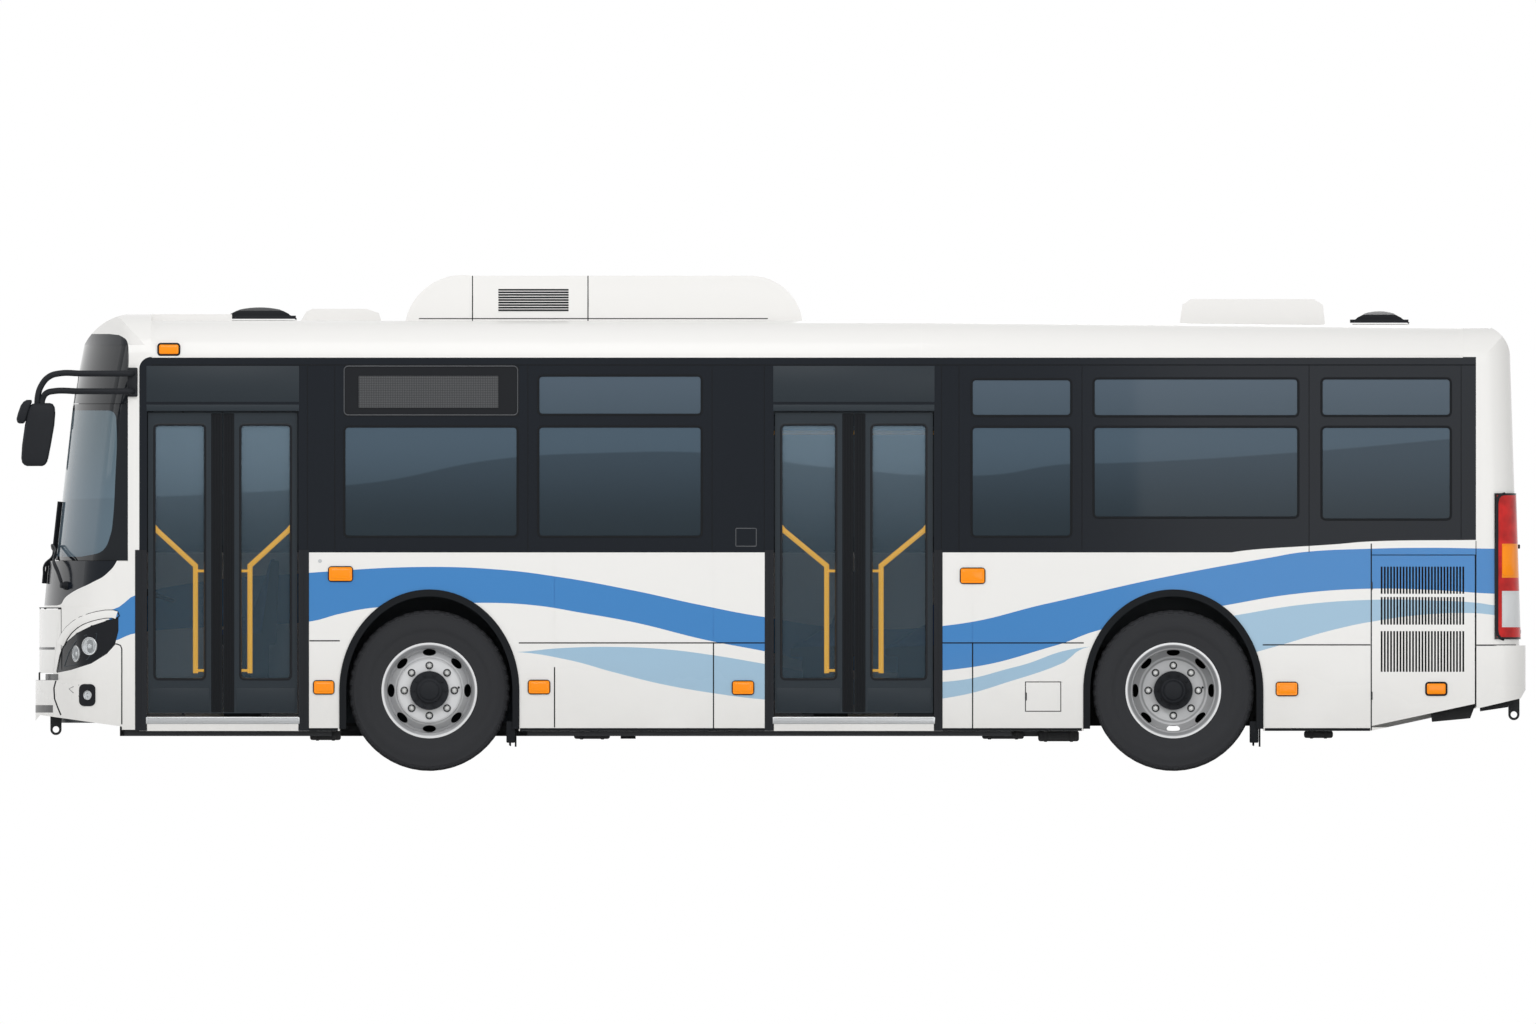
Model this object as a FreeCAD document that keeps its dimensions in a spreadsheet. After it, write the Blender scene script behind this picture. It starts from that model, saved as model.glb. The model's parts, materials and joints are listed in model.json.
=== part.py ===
import FreeCAD, Part
import math
import os
import Sketcher
from FreeCAD import Rotation, Vector

# City bus, millimetres. +Z is up, the front faces -X and the passenger doors
# are on the -Y side. The origin is on the ground, midway along and across.

doc = FreeCAD.newDocument("CityBus")
sizes = doc.addObject("Spreadsheet::Sheet", "Sizes")

# alias, value
SIZES = (
    ("half_width", 1250),
    ("wall", 45),
    ("skin", 20),
    ("skirt_low", 266),
    ("waist", 1453),
    ("cantrail", 2753),
    ("roof_high", 2993),
    ("roof_drop", 35),
    ("cap_rise", 44),
    ("band_front", -4201),
    ("cap_front", -4276),
    ("roof_front", -4119),
    ("band_rear", 4688),
    ("roof_rear", 4602),
    ("nose_radius", 2600),
    ("nose_corner", 260),
    ("tail_corner", 180),
    ("floor_low", 360),
    ("floor_high", 860),
    ("deck_high", 1060),
    ("floor_thick", 40),
    ("step_front", 1400),
    ("deck_front", 3450),
    ("front_hub", -2272),
    ("rear_hub", 2675),
    ("tyre_radius", 535),
    ("tyre_width", 290),
    ("king_pin", 930),
    ("front_wheel", 1040),
    ("rear_outer", 1078),
    ("rear_inner", 746),
    ("spindle", 55),
    ("rear_spindle", 60),
    ("running_fit", 0.4),
    ("arch_half", 595),
    ("arch_rise", 668),
    ("arch_trim", 42),
    ("sill_top", 360),
    ("door_low", 384),
    ("door_high", 2384),
    ("door_head", 2391),
    ("leaf_thick", 34),
    ("leaf_inset", 45),
    ("post_offset", 27),
    ("post_radius", 18),
    ("leaf_gap", 3),
    ("front_door_mid", -3646),
    ("front_leaf", 494),
    ("middle_door_mid", 551),
    ("middle_leaf", 523),
    ("glass", 6),
    ("rail_radius", 17),
    ("rail_low", 232),
    ("rail_high", 320),
    ("deck_beam_low", 730),
    ("deck_beam_high", 820),
    ("moving_gap", 6),
    ("seam", 0.3),
)
for row, (alias, value) in enumerate(SIZES, start=1):
    sizes.set("A%d" % row, alias)
    sizes.set("B%d" % row, str(value))
    sizes.setAlias("B%d" % row, alias)
doc.recompute()


def wording(value):
    """The expression behind a number, or the number itself."""
    return value.text if isinstance(value, Measure) else repr(float(value))


class Measure(float):
    """A length that keeps the expression it came from, so objects can be bound to the sheet."""

    def __new__(cls, value, text):
        made = float.__new__(cls, value)
        made.text = text
        return made

    def __add__(self, other):
        return Measure(float(self) + float(other), "(%s + %s)" % (self.text, wording(other)))

    def __radd__(self, other):
        return Measure(float(other) + float(self), "(%s + %s)" % (wording(other), self.text))

    def __sub__(self, other):
        return Measure(float(self) - float(other), "(%s - %s)" % (self.text, wording(other)))

    def __rsub__(self, other):
        return Measure(float(other) - float(self), "(%s - %s)" % (wording(other), self.text))

    def __mul__(self, other):
        return Measure(float(self) * float(other), "(%s * %s)" % (self.text, wording(other)))

    def __rmul__(self, other):
        return Measure(float(other) * float(self), "(%s * %s)" % (wording(other), self.text))

    def __truediv__(self, other):
        return Measure(float(self) / float(other), "(%s / %s)" % (self.text, wording(other)))

    def __neg__(self):
        return Measure(-float(self), "(0 - %s)" % self.text)


def size(alias):
    return Measure(float(sizes.get(alias)), "Sizes." + alias)

# ---------------------------------------------------------------- document objects
ACROSS = {"x": Rotation(Vector(1, 1, 1), 120), "y": Rotation(Vector(1, 0, 0), 90), "z": Rotation()}
ALONG = {"x": Rotation(Vector(0, 1, 0), 90), "y": Rotation(Vector(1, 0, 0), -90), "z": Rotation()}
RUN = {"x": Vector(1, 0, 0), "y": Vector(0, 1, 0), "z": Vector(0, 0, 1)}


def bind(item, prop, value):
    item.setExpression(prop, wording(value))


def block(name, x0, x1, y0, y1, z0, z1):
    """A box between two corners."""
    made = doc.addObject("Part::Box", name)
    for prop, low, high in (("Length", x0, x1), ("Width", y0, y1), ("Height", z0, z1)):
        bind(made, prop, high - low)
    for axis, low in (("x", x0), ("y", y0), ("z", z0)):
        bind(made, "Placement.Base." + axis, low)
    return made


def rod(name, axis, radius, x, y, z, length):
    """A cylinder that starts at x, y, z and runs along +axis."""
    made = doc.addObject("Part::Cylinder", name)
    made.Placement.Rotation = ALONG[axis]
    bind(made, "Radius", radius)
    bind(made, "Height", length)
    for letter, value in (("x", x), ("y", y), ("z", z)):
        bind(made, "Placement.Base." + letter, value)
    return made


def polygon(sketch, points):
    """Draws a closed polygon in a sketch and ties each corner to its two values."""
    first, count = len(sketch.Geometry), len(points)
    corners = [Vector(float(a), float(b), 0) for a, b in points]
    for number in range(count):
        sketch.addGeometry(Part.LineSegment(corners[number], corners[(number + 1) % count]))
    for number in range(count):
        here, there = first + number, first + (number + 1) % count
        sketch.addConstraint(Sketcher.Constraint("Coincident", here, 2, there, 1))
    for number, place in enumerate(points):
        for kind, value in zip(("DistanceX", "DistanceY"), place):
            rule = Sketcher.Constraint(kind, -1, 1, first + number, 1, float(value))
            index = sketch.addConstraint(rule)
            if isinstance(value, Measure):
                bind(sketch, "Constraints[%d]" % index, value)


def on_plane(body, name, role):
    """An empty sketch on one of the body's own origin planes."""
    sketch = body.newObject("Sketcher::SketchObject", name)
    plane = [item for item in body.Origin.OriginFeatures if item.Role == role][0]
    sketch.AttachmentSupport = [(plane, "")]
    sketch.MapMode = "FlatFace"
    return sketch


def outline(name, axis, points, low, high):
    """A drawn polygon pulled out along an axis. Its points are pairs across that axis."""
    sketch = doc.addObject("Sketcher::SketchObject", name + "Outline")
    sketch.Placement.Rotation = ACROSS[axis]
    bind(sketch, "Placement.Base." + axis, low)
    polygon(sketch, points)
    made = doc.addObject("Part::Extrusion", name)
    made.Base = sketch
    made.DirMode = "Custom"
    made.Dir = RUN[axis]
    made.Solid = True
    bind(made, "LengthFwd", high - low)
    return made


def fused(name, *pieces):
    """One solid of several; a single piece is returned as it is."""
    if len(pieces) == 1:
        return pieces[0]
    union = doc.addObject("Part::MultiFuse", name)
    union.Shapes = list(pieces)
    union.Refine = True
    return union


def grouped(name, *pieces):
    """Separate solids that share one node."""
    group = doc.addObject("Part::Compound", name)
    group.Links = list(pieces)
    return group


def without(name, base, *tools):
    """The base with every tool cut away."""
    cut = doc.addObject("Part::Cut", name)
    cut.Base = base
    cut.Tool = fused(name + "Tools", *tools)
    cut.Refine = True
    return cut


def shared(name, first, second):
    """What two pieces have in common."""
    common = doc.addObject("Part::Common", name)
    common.Base = first
    common.Tool = second
    return common


def twin(name, piece):
    """The piece mirrored to the other side of the bus."""
    mirror = doc.addObject("Part::Mirroring", name)
    mirror.Source = piece
    mirror.Normal = Vector(0, 1, 0)
    return mirror


def pair(name, piece):
    return [piece, twin(name + "Twin", piece)]


def flipped(name, piece, x):
    """The piece mirrored end for end about the plane at x."""
    mirror = doc.addObject("Part::Mirroring", name)
    mirror.Source = piece
    mirror.Normal = Vector(1, 0, 0)
    bind(mirror, "Base.x", x)
    return mirror


def eased(name, piece, radius, axis, keep=None):
    """Rounds the edges that run along an axis; `keep` may pick some by their midpoint."""
    doc.recompute()
    edges = []
    for number, edge in enumerate(piece.Shape.Edges, start=1):
        run = edge.Vertexes[-1].Point - edge.Vertexes[0].Point
        if abs(getattr(run, axis)) < run.Length * 0.9:
            continue
        if keep is None or keep(edge.CenterOfMass):
            edges.append((number, float(radius), float(radius)))
    made = doc.addObject("Part::Fillet", name)
    made.Base = piece
    made.Edges = edges
    return made


def rounded(name, radius, axis, *corners):
    """A box whose edges along one axis are rounded."""
    return eased(name, block(name + "Block", *corners), radius, axis)


def ready(name, solid):
    """A piece made with Part's own functions, for faces that slant and curve at once."""
    feature = doc.addObject("Part::Feature", name)
    feature.Shape = solid
    return feature

# ---------------------------------------------------------------- plain shapes
def box(x0, x1, y0, y1, z0, z1):
    return Part.makeBox(x1 - x0, y1 - y0, z1 - z0, Vector(x0, y0, z0))


def prism(points, axis, low, high):
    """A polygon of (first, second) pairs drawn out along one axis."""
    spot = {"x": lambda a, b: Vector(low, a, b), "y": lambda a, b: Vector(a, low, b)}[axis]
    corners = [spot(a, b) for a, b in points]
    return Part.Face(Part.makePolygon(corners + corners[:1])).extrude(RUN[axis] * (high - low))


def joined(solids):
    return solids[0].multiFuse(solids[1:]).removeSplitter()


def tube(points, radius):
    """A round bar along a line of points with mitred corners."""
    path = Part.Wire([Part.makeLine(a, b) for a, b in zip(points, points[1:])])
    ring = Part.Wire(Part.makeCircle(radius, points[0], points[1] - points[0]))
    return path.makePipeShell([ring], True, False, 1)


def bar(start, end, radius):
    run = end - start
    return Part.makeCylinder(radius, run.Length, start, run)


def mirrored(solid):
    return solid.mirror(Vector(0, 0, 0), Vector(0, 1, 0))


def both(solid):
    """The left piece and its twin on the right."""
    return [solid, mirrored(solid)]


HALF = size("half_width")
WALL = size("wall")
SKIN = size("skin")
GAP = size("moving_gap")
SEAM = size("seam")
WAIST = size("waist")
CANT = size("cantrail")
SKIRT = size("skirt_low")
BAND0 = size("band_front")
BAND1 = size("band_rear")
CAP = size("cap_front")
ROOF0 = size("roof_front")
ROOF1 = size("roof_rear")
ROOF = size("roof_high")
TOP = ROOF + size("cap_rise")
FLOOR = size("floor_low")
UPPER = size("floor_high")
DECK_TOP = size("deck_high")
THIN = size("floor_thick")
STEP = size("step_front")
DECK = size("deck_front")
FRONT = size("front_hub")
REAR = size("rear_hub")
HUB = size("tyre_radius")
INSIDE = HALF - WALL
# wheel houses
HOUSE_HALF, HOUSE_SKIN = 640.0, 8.0
HOUSE_TOP = HUB + 690

# ---------------------------------------------------------------- nose and tail


def leaned(outline, x, low, high, lean):
    """An outline at the height `low` drawn up, then tipped so that it leans over the height."""
    spare = 150 if lean else 0
    outline.translate(Vector(0, 0, -spare))
    solid = Part.Face(outline).extrude(Vector(0, 0, high - low + 2 * spare))
    solid.rotate(Vector(x, 0, low), Vector(0, 1, 0), math.degrees(math.atan2(lean, high - low)))
    return solid


def nose(front, low, high, lean=0.0, inset=0.0, back=-3000.0):
    """A slanted prism of the nose in plan: side lines, corner arcs, front arc."""
    big = size("nose_radius") - inset
    small = max(size("nose_corner") - inset, 20.0)
    half = HALF - inset
    centre = front + inset + big
    side = half - small
    reach = math.sqrt((big - small) ** 2 - side ** 2)
    away = Vector(-reach, side, 0).normalize()
    touch = Vector(centre + big * away.x, big * away.y, low)
    start = Vector(centre - reach, half, low)
    turn = (math.atan2(away.y, away.x) + math.pi / 2) / 2
    middle = Vector(centre - reach + small * math.cos(turn), side + small * math.sin(turn), low)

    def other(point):
        return Vector(point.x, -point.y, point.z)

    end = Vector(back, half, low)
    edges = [
        Part.LineSegment(end, start),
        Part.Arc(start, middle, touch),
        Part.Arc(touch, Vector(front + inset, 0, low), other(touch)),
        Part.Arc(other(touch), other(middle), other(start)),
        Part.LineSegment(other(start), other(end)),
        Part.LineSegment(other(end), end),
    ]
    outline = Part.Wire([edge.toShape() for edge in edges])
    return leaned(outline, front, low, high, lean)


def nose_shell(front, low, high, lean, outer, inner, back):
    """The part of the nose between two insets, ahead of the plane x = back."""
    body = nose(front, low, high, lean, outer).cut(nose(front, low, high, lean, inner))
    return body.common(box(-6000, back, -2000, 2000, low, high))


def tail(rear, low, high, lean=0.0, inset=0.0, front=3000.0):
    """A slanted prism of the tail in plan: a flat back with rounded corners."""
    half = HALF - inset
    back = rear - inset
    curve = max(size("tail_corner") - inset, 5.0)
    low_corner = Vector(back - curve, half, low)
    high_corner = Vector(back, half - curve, low)
    bend = curve * math.sqrt(0.5)
    middle = Vector(back - curve + bend, half - curve + bend, low)

    def other(point):
        return Vector(point.x, -point.y, point.z)

    start = Vector(front, half, low)
    edges = [
        Part.LineSegment(start, low_corner),
        Part.Arc(low_corner, middle, high_corner),
        Part.LineSegment(high_corner, other(high_corner)),
        Part.Arc(other(high_corner), other(middle), other(low_corner)),
        Part.LineSegment(other(low_corner), other(start)),
        Part.LineSegment(other(start), start),
    ]
    outline = Part.Wire([edge.toShape() for edge in edges])
    return leaned(outline, rear, low, high, lean)


def tail_shell(rear, low, high, lean, outer, inner, front):
    body = tail(rear, low, high, lean, outer).cut(tail(rear, low, high, lean, inner))
    return body.common(box(front, 6000, -2000, 2000, low, high))


def section(x0, x1, top, inset, fall=0.0, base=2400.0):
    """The roof's cross-section drawn out along the bus, falling by an angle."""
    half = HALF - inset
    high = top - inset
    curve = top - CANT - inset
    bend = curve * (1 - math.sqrt(0.5))
    right = [
        Vector(x0, half, base),
        Vector(x0, half, high - curve),
        Vector(x0, half - bend, high - bend),
        Vector(x0, half - curve, high),
    ]
    left = [Vector(p.x, -p.y, p.z) for p in right]
    edges = [
        Part.LineSegment(right[0], right[1]),
        Part.Arc(right[1], right[2], right[3]),
        Part.LineSegment(right[3], left[3]),
        Part.Arc(left[3], left[2], left[1]),
        Part.LineSegment(left[1], left[0]),
        Part.LineSegment(left[0], right[0]),
    ]
    outline = Part.Wire([edge.toShape() for edge in edges])
    solid = Part.Face(outline).extrude(Vector(x1 - x0, 0, 0))
    solid.rotate(Vector(x0, 0, top), Vector(0, 1, 0), fall)
    return solid


def swept_side(points, width):
    """A side outline drawn out across the bus; three-point rows are arcs."""
    edges = []
    for kind, row in points:
        ends = [Vector(x, -width, z) for x, z in row]
        if kind == "arc":
            edges.append(Part.Arc(*ends).toShape())
        else:
            edges.append(Part.LineSegment(*ends).toShape())
    return Part.Face(Part.Wire(edges)).extrude(Vector(0, 2 * width, 0))

# ---------------------------------------------------------------- hinges
KNUCKLE, KNUCKLE_RUN, KNUCKLE_LONG = 5.8, 0.5, 50.0
knuckles = []


def hinged(name, lid, axis, x, y, z, spots):
    """Cuts a lid around the fixed knuckles on its hinge line and keeps the knuckles."""
    rooms = []
    for spot in spots:
        place = {"x": x, "y": y, "z": z}
        place[axis] = spot - KNUCKLE_LONG / 2
        knuckles.append(rod(name + "Knuckle", axis, KNUCKLE, *place.values(), KNUCKLE_LONG))
        place[axis] = place[axis] - 2
        rooms.append(rod(name + "Room", axis, KNUCKLE + KNUCKLE_RUN, *place.values(), KNUCKLE_LONG + 4))
    return without(name, lid, *rooms)

# ---------------------------------------------------------------- front cap
# zones of the nose, each a slanted prism: front x at the bottom, heights, lean over the height
BUMPER_X, BUMPER_LOW, BUMPER_HIGH = -4891.0, 372.0, 605.0
FASCIA_X, FASCIA_LOW, FASCIA_HIGH = -4865.0, 645.0, 1089.0
COWL_X, COWL_HIGH, COWL_LEAN = -4833.0, 1397.0, 28.0
SCREEN_X, SCREEN_LOW, SCREEN_HIGH, SCREEN_LEAN = -4757.0, 1400.0, 2440.0, 115.0
SIGN_X, SIGN_LOW, SIGN_HIGH, SIGN_LEAN = -4642.0, 2443.0, 2833.0, 76.0
SIGN_TOP_X = SIGN_X + SIGN_LEAN
LID_HALF, LID_FOOT, LID_HIGH = 845.0, 680.0, 1074.0
LID_LOW = FASCIA_LOW + GAP
CORNER_X = -4316.0

# outline of the left headlamp seen from the side: x, z
LAMP = (
    (-4339, 1020), (-4417, 1000), (-4519, 966), (-4615, 918), (-4702, 844), (-4728, 770),
    (-4750, 652), (-4655, 671), (-4519, 715), (-4417, 778), (-4363, 838), (-4339, 931),
)
LAMP_INNER = 700.0
lamp_left = prism(LAMP, "y", -HALF - 50, -LAMP_INNER)


def lid_prism(grow):
    """The front lid's outline, wider at the top, as a prism along the bus."""
    foot = FASCIA_LOW - 1 if grow else FASCIA_LOW
    return prism(((-LID_HALF - grow, LID_HIGH + grow), (-LID_FOOT - grow, foot),
                  (LID_FOOT + grow, foot), (LID_HALF + grow, LID_HIGH + grow)), "x", -5000.0, -4500.0)


fascia = nose_shell(FASCIA_X, FASCIA_LOW, FASCIA_HIGH, 0, 0, 30, BAND0)
for cutter in both(lamp_left) + [lid_prism(GAP)]:
    fascia = fascia.cut(cutter)
cowl = nose_shell(COWL_X, FASCIA_HIGH, COWL_HIGH, COWL_LEAN, 0, 60, BAND0)
pillar = box(CAP, BAND0, -HALF, -INSIDE, COWL_HIGH, CANT)
corner_post = box(CORNER_X, BAND0, -HALF, -INSIDE, 274, FASCIA_LOW)
screen_frame = joined([
    nose_shell(SCREEN_X, SCREEN_LOW - 3, SCREEN_LOW + 50, 5, 20, 70, BAND0),
    nose_shell(SIGN_X, SIGN_LOW - 60, SIGN_LOW + 40, 18, 26, 70, BAND0),
    nose_shell(SIGN_TOP_X, SIGN_HIGH - 40, SIGN_HIGH + 1, 0, 26, 70, BAND0),
])


def dome(inset):
    """The rounded front top, as three prisms that share one volume."""
    front = SIGN_TOP_X + inset
    high = TOP - inset
    side = swept_side((
        ("arc", ((front, SIGN_HIGH), (front + 96, high - 84), (front + 400, high))),
        ("line", ((front + 400, high), (ROOF0, high))),
        ("line", ((ROOF0, high), (ROOF0, SIGN_HIGH))),
        ("line", ((ROOF0, SIGN_HIGH), (front, SIGN_HIGH))),
    ), HALF + 100)
    plan = nose(SIGN_TOP_X, SIGN_HIGH, TOP + 10, 0, inset)
    return side.common(section(-5000, ROOF0, TOP, inset)).common(plan)


front_dome = dome(0).cut(dome(WALL))
side_fill = section(CAP, ROOF0, TOP, 0).cut(section(CAP - 1, ROOF0 + 1, TOP, WALL))
side_fill = side_fill.common(box(CAP, ROOF0, -HALF, HALF, CANT, SIGN_HIGH))
fascia_ledge = nose_shell(FASCIA_X, LID_HIGH + GAP, FASCIA_HIGH, 0, 0, 95, BAND0)
cowl_ledge = nose_shell(COWL_X + COWL_LEAN, COWL_HIGH - 12, COWL_HIGH, 0, 3, 130, BAND0)
ready("front_cap", joined(
    [fascia, fascia_ledge, cowl, cowl_ledge, front_dome, side_fill, screen_frame]
    + both(pillar) + both(corner_post)
))

windscreen = nose_shell(SCREEN_X, SCREEN_LOW, SCREEN_HIGH, SCREEN_LEAN, 0, 12, CAP - SEAM)
sign_glass = nose_shell(SIGN_X, SIGN_LOW, SIGN_HIGH - SEAM, SIGN_LEAN, 0, 12, CAP - SEAM)
grouped("windscreen", ready("MainScreen", windscreen), ready("SignGlass", sign_glass))

lid = nose_shell(FASCIA_X, LID_LOW, LID_HIGH, 0, 0, 25, -4500).common(lid_prism(0))
hinged("front_lid", ready("FrontLidSkin", lid), "y", FASCIA_X, 0, LID_LOW, (-150, 150))
for number, y in enumerate((-150, 150)):
    y0, y1 = y - KNUCKLE_LONG / 2, y + KNUCKLE_LONG / 2
    foot = block("LidFoot", FASCIA_X - KNUCKLE, FASCIA_X + KNUCKLE, y0, y1, BUMPER_HIGH, LID_LOW - 3)
    knuckles[number] = fused("LidHinge", knuckles[number], foot)

lamps = nose_shell(FASCIA_X, FASCIA_LOW, FASCIA_HIGH, 0, 3, 60, CAP)
lamp = ready("LeftHeadlamp", lamps.common(lamp_left))
grouped("headlamps", *pair("Headlamp", lamp))

bumper = nose_shell(BUMPER_X, 260, BUMPER_HIGH, 0, 0, 80, CORNER_X)
under = prism(((-5000, 200), (-4860, BUMPER_LOW), (-4716, 352), (CORNER_X, 295), (CORNER_X, 200)),
              "y", -HALF - 10, HALF + 10)
slot = nose_shell(FASCIA_X, BUMPER_HIGH, FASCIA_LOW, 0, 40, 80, CORNER_X)
corner_fill = nose_shell(FASCIA_X, BUMPER_HIGH, FASCIA_LOW, 0, 0, 80, CORNER_X)
corner_fill = corner_fill.cut(box(-5000, -4000, -800, 800, 500, 700))
front_bumper = joined([bumper.cut(under), slot, corner_fill])

# ---------------------------------------------------------------- rear cap
TAIL_X, TAIL_LOW, TAIL_LEAN = 4976.0, 835.0, -61.0
TAIL_HIGH = ROOF - size("roof_drop")
TAIL_TOP_X = TAIL_X + TAIL_LEAN
REAR_BUMPER_X = 5018.0


def tail_dome(inset):
    back = TAIL_TOP_X - inset
    high = TAIL_HIGH - inset
    side = swept_side((
        ("arc", ((back, CANT), (back - 62, high - 56), (back - 290, high))),
        ("line", ((back - 290, high), (ROOF1, high))),
        ("line", ((ROOF1, high), (ROOF1, CANT))),
        ("line", ((ROOF1, CANT), (back, CANT))),
    ), HALF + 100)
    plan = tail(TAIL_TOP_X, CANT, ROOF, 0, inset)
    return side.common(section(4000, 5200, TAIL_HIGH, inset)).common(plan)


LAMP_LOW, LAMP_HIGH, LAMP_FRONT, LAMP_IN = 876.0, 1847.0, 4811.0, 1078.0
REAR_LID_LOW, REAR_LID_HIGH, REAR_LID_HALF = 880.0, 1520.0, 820.0
REAR_GLASS_LOW, REAR_GLASS_HIGH, REAR_GLASS_HALF = 1750.0, 2600.0, 930.0

tail_body = tail_shell(TAIL_X, TAIL_LOW, CANT, TAIL_LEAN, 0, WALL, BAND1)
lamp_box = box(LAMP_FRONT, 5200, -HALF - 50, -LAMP_IN, LAMP_LOW, LAMP_HIGH)
for cutter in both(lamp_box) + [
    box(4700, 5100, -REAR_LID_HALF - GAP, REAR_LID_HALF + GAP, REAR_LID_LOW - GAP, REAR_LID_HIGH + GAP),
    box(4700, 5100, -REAR_GLASS_HALF, REAR_GLASS_HALF, REAR_GLASS_LOW, REAR_GLASS_HIGH),
]:
    tail_body = tail_body.cut(cutter)
tail_top = tail_dome(0).cut(tail_dome(WALL)).common(box(4000, 5200, -2000, 2000, CANT + SEAM, 4000))
grouped("rear_cap", ready("TailBody", tail_body), ready("TailTop", tail_top))

tail_lamp = tail_shell(TAIL_X, TAIL_LOW, CANT, TAIL_LEAN, -12, 40, BAND1).common(lamp_box)
grouped("tail_lamps", *pair("TailLamp", ready("LeftTailLamp", tail_lamp)))

rear_glass = tail_shell(TAIL_X, TAIL_LOW, CANT, TAIL_LEAN, 4, 12, BAND1)
rear_glass = rear_glass.common(box(4700, 5100, -REAR_GLASS_HALF + SEAM, REAR_GLASS_HALF - SEAM,
                                   REAR_GLASS_LOW + SEAM, REAR_GLASS_HIGH - SEAM))

engine_lid = tail_shell(TAIL_X, TAIL_LOW, CANT, TAIL_LEAN, 0, 30, BAND1)
engine_lid = engine_lid.common(box(4700, 5100, -REAR_LID_HALF, REAR_LID_HALF, REAR_LID_LOW, REAR_LID_HIGH))
LID_LINE_X = TAIL_X + TAIL_LEAN * (REAR_LID_HIGH - TAIL_LOW) / (CANT - TAIL_LOW)
hinged("engine_door", ready("EngineDoorSkin", engine_lid), "y", LID_LINE_X, 0, REAR_LID_HIGH, (-600, 600))

rear_bumper = tail_shell(REAR_BUMPER_X, 400, TAIL_LOW, 0, 0, 80, BAND1)
rear_under = prism(((BAND1 - 1, 300), (BAND1 - 1, 413), (4985, 483), (5030, 560), (5030, 300)),
                   "y", -HALF - 10, HALF + 10)
grouped("bumpers", ready("FrontBumper", front_bumper), ready("RearBumper", rear_bumper.cut(rear_under)))

# ---------------------------------------------------------------- roof
LEVEL_TO = 1000.0
FALL = math.degrees(math.atan2(size("roof_drop"), ROOF1 - LEVEL_TO))

level_roof = section(ROOF0, LEVEL_TO, ROOF, 0).cut(section(ROOF0 - 1, LEVEL_TO + 1, ROOF, WALL))
level_roof = level_roof.common(box(ROOF0, LEVEL_TO - SEAM / 2, -HALF, HALF, CANT, TOP))
falling_roof = section(LEVEL_TO, ROOF1 + 20, ROOF, 0, FALL)
falling_roof = falling_roof.cut(section(LEVEL_TO, ROOF1 + 20, ROOF, WALL, FALL))
falling_roof = falling_roof.common(box(LEVEL_TO + SEAM / 2, ROOF1, -HALF, HALF, CANT, TOP))
raised = block("RaisedFront", ROOF0, -3584, -900, 900, ROOF - 20, TOP)
roofs = [fused("LevelRoof", ready("LevelShell", level_roof), raised), ready("FallingRoof", falling_roof)]
# hatches: node, front x, rear x, half width, the collar's top over the roof
HATCHES = (
    ("front_roof_hatch", -3640.0, -3159.0, 300.0, 7.0),
    ("rear_roof_hatch", 3850.0, 4239.0, 300.0, -19.0),
)
PLATE = 22.0
for number, (name, x0, x1, half, over) in enumerate(HATCHES):
    collar = ROOF + over
    clear = block("Clear", x0 - 12, x1 + 12, -half - 12, half + 12, collar, collar + 100)
    rim = block("Collar", x0 + 15, x1 + GAP, -half + 15, half - 15, collar - 60, collar)
    hole = block("Hole", x0 + 45, x1 - 45, -half + 45, half - 45, collar - 200, collar + 100)
    flat = without("RoofFlat", roofs[number], clear)
    roofs[number] = without("RoofPanel", fused("RoofCollar", flat, rim), hole)
    low = collar + GAP
    plate = rounded("HatchPlate", 30, "z", x0, x1, -half, half, low, low + PLATE)
    crown = outline("HatchCrown", "y", ((x0 + 30, low + PLATE - 1), (x0 + 90, low + 52), (x1 - 90, low + 52),
                                        (x1 - 30, low + PLATE - 1)), 40 - half, half - 40)
    hinged(name, fused("Hatch", plate, crown), "y", x1, 0, low, (-200, 200))
grouped("roof", *roofs)

# the air conditioner: a curved cover with a louvred recess in each side
AC_HALF, AC_HIGH = 860.0, ROOF + 300
cover = ready("CoolerCover", swept_side((
    ("arc", ((-2431, ROOF), (-2310, ROOF + 207), (-1988, AC_HIGH))),
    ("line", ((-1988, AC_HIGH), (-133, AC_HIGH))),
    ("arc", ((-133, AC_HIGH), (130, ROOF + 177), (209, ROOF))),
    ("line", ((209, ROOF), (-2431, ROOF))),
), AC_HALF))
LOUVRE = (-1813.0, -1346.0, ROOF + 59, ROOF + 212)
SLATS, SLAT_DEPTH = 9, 22.0
x0, x1, z0, z1 = LOUVRE
recess = block("LouvreRecess", x0, x1, -AC_HALF - 1, -AC_HALF + SLAT_DEPTH, z0, z1)
cover = without("CoolerShell", cover, *pair("Recess", recess))
pitch = (z1 - z0) / SLATS
slats = []
for number in range(SLATS):
    z = z0 + 1 + number * pitch
    outer, inner = -AC_HALF + 2, -AC_HALF + SLAT_DEPTH + 1
    slat = ((outer, z), (outer, z + 3), (inner, z + 14), (inner, z + 10))
    slats.append(outline("Slat", "x", slat, x0 - 1, x1 + 1))
louvres = grouped("LouvreSlats", *slats)
fused("air_conditioner", cover, louvres, twin("LouvreTwin", louvres))

# the pods' side outlines: x, height over the roof
FRONT_POD = ((-3126, 0), (-3090, 62), (-3050, 80), (-2690, 80), (-2608, 52), (-2590, 0))
REAR_POD = ((2713, -53), (2735, 107), (2790, 145), (3610, 145), (3670, 107), (3688, -53))
front_pod = outline("FrontPodBlock", "y", [(x, ROOF + z) for x, z in FRONT_POD], -520, 520)
rear_pod = outline("RearPodBlock", "y", [(x, ROOF + z) for x, z in REAR_POD], -620, 620)
under_pod = ready("UnderPod", section(LEVEL_TO, ROOF1, ROOF, 0, FALL))
grouped("roof_pods", front_pod, without("RearPod", rear_pod, under_pod))

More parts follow.
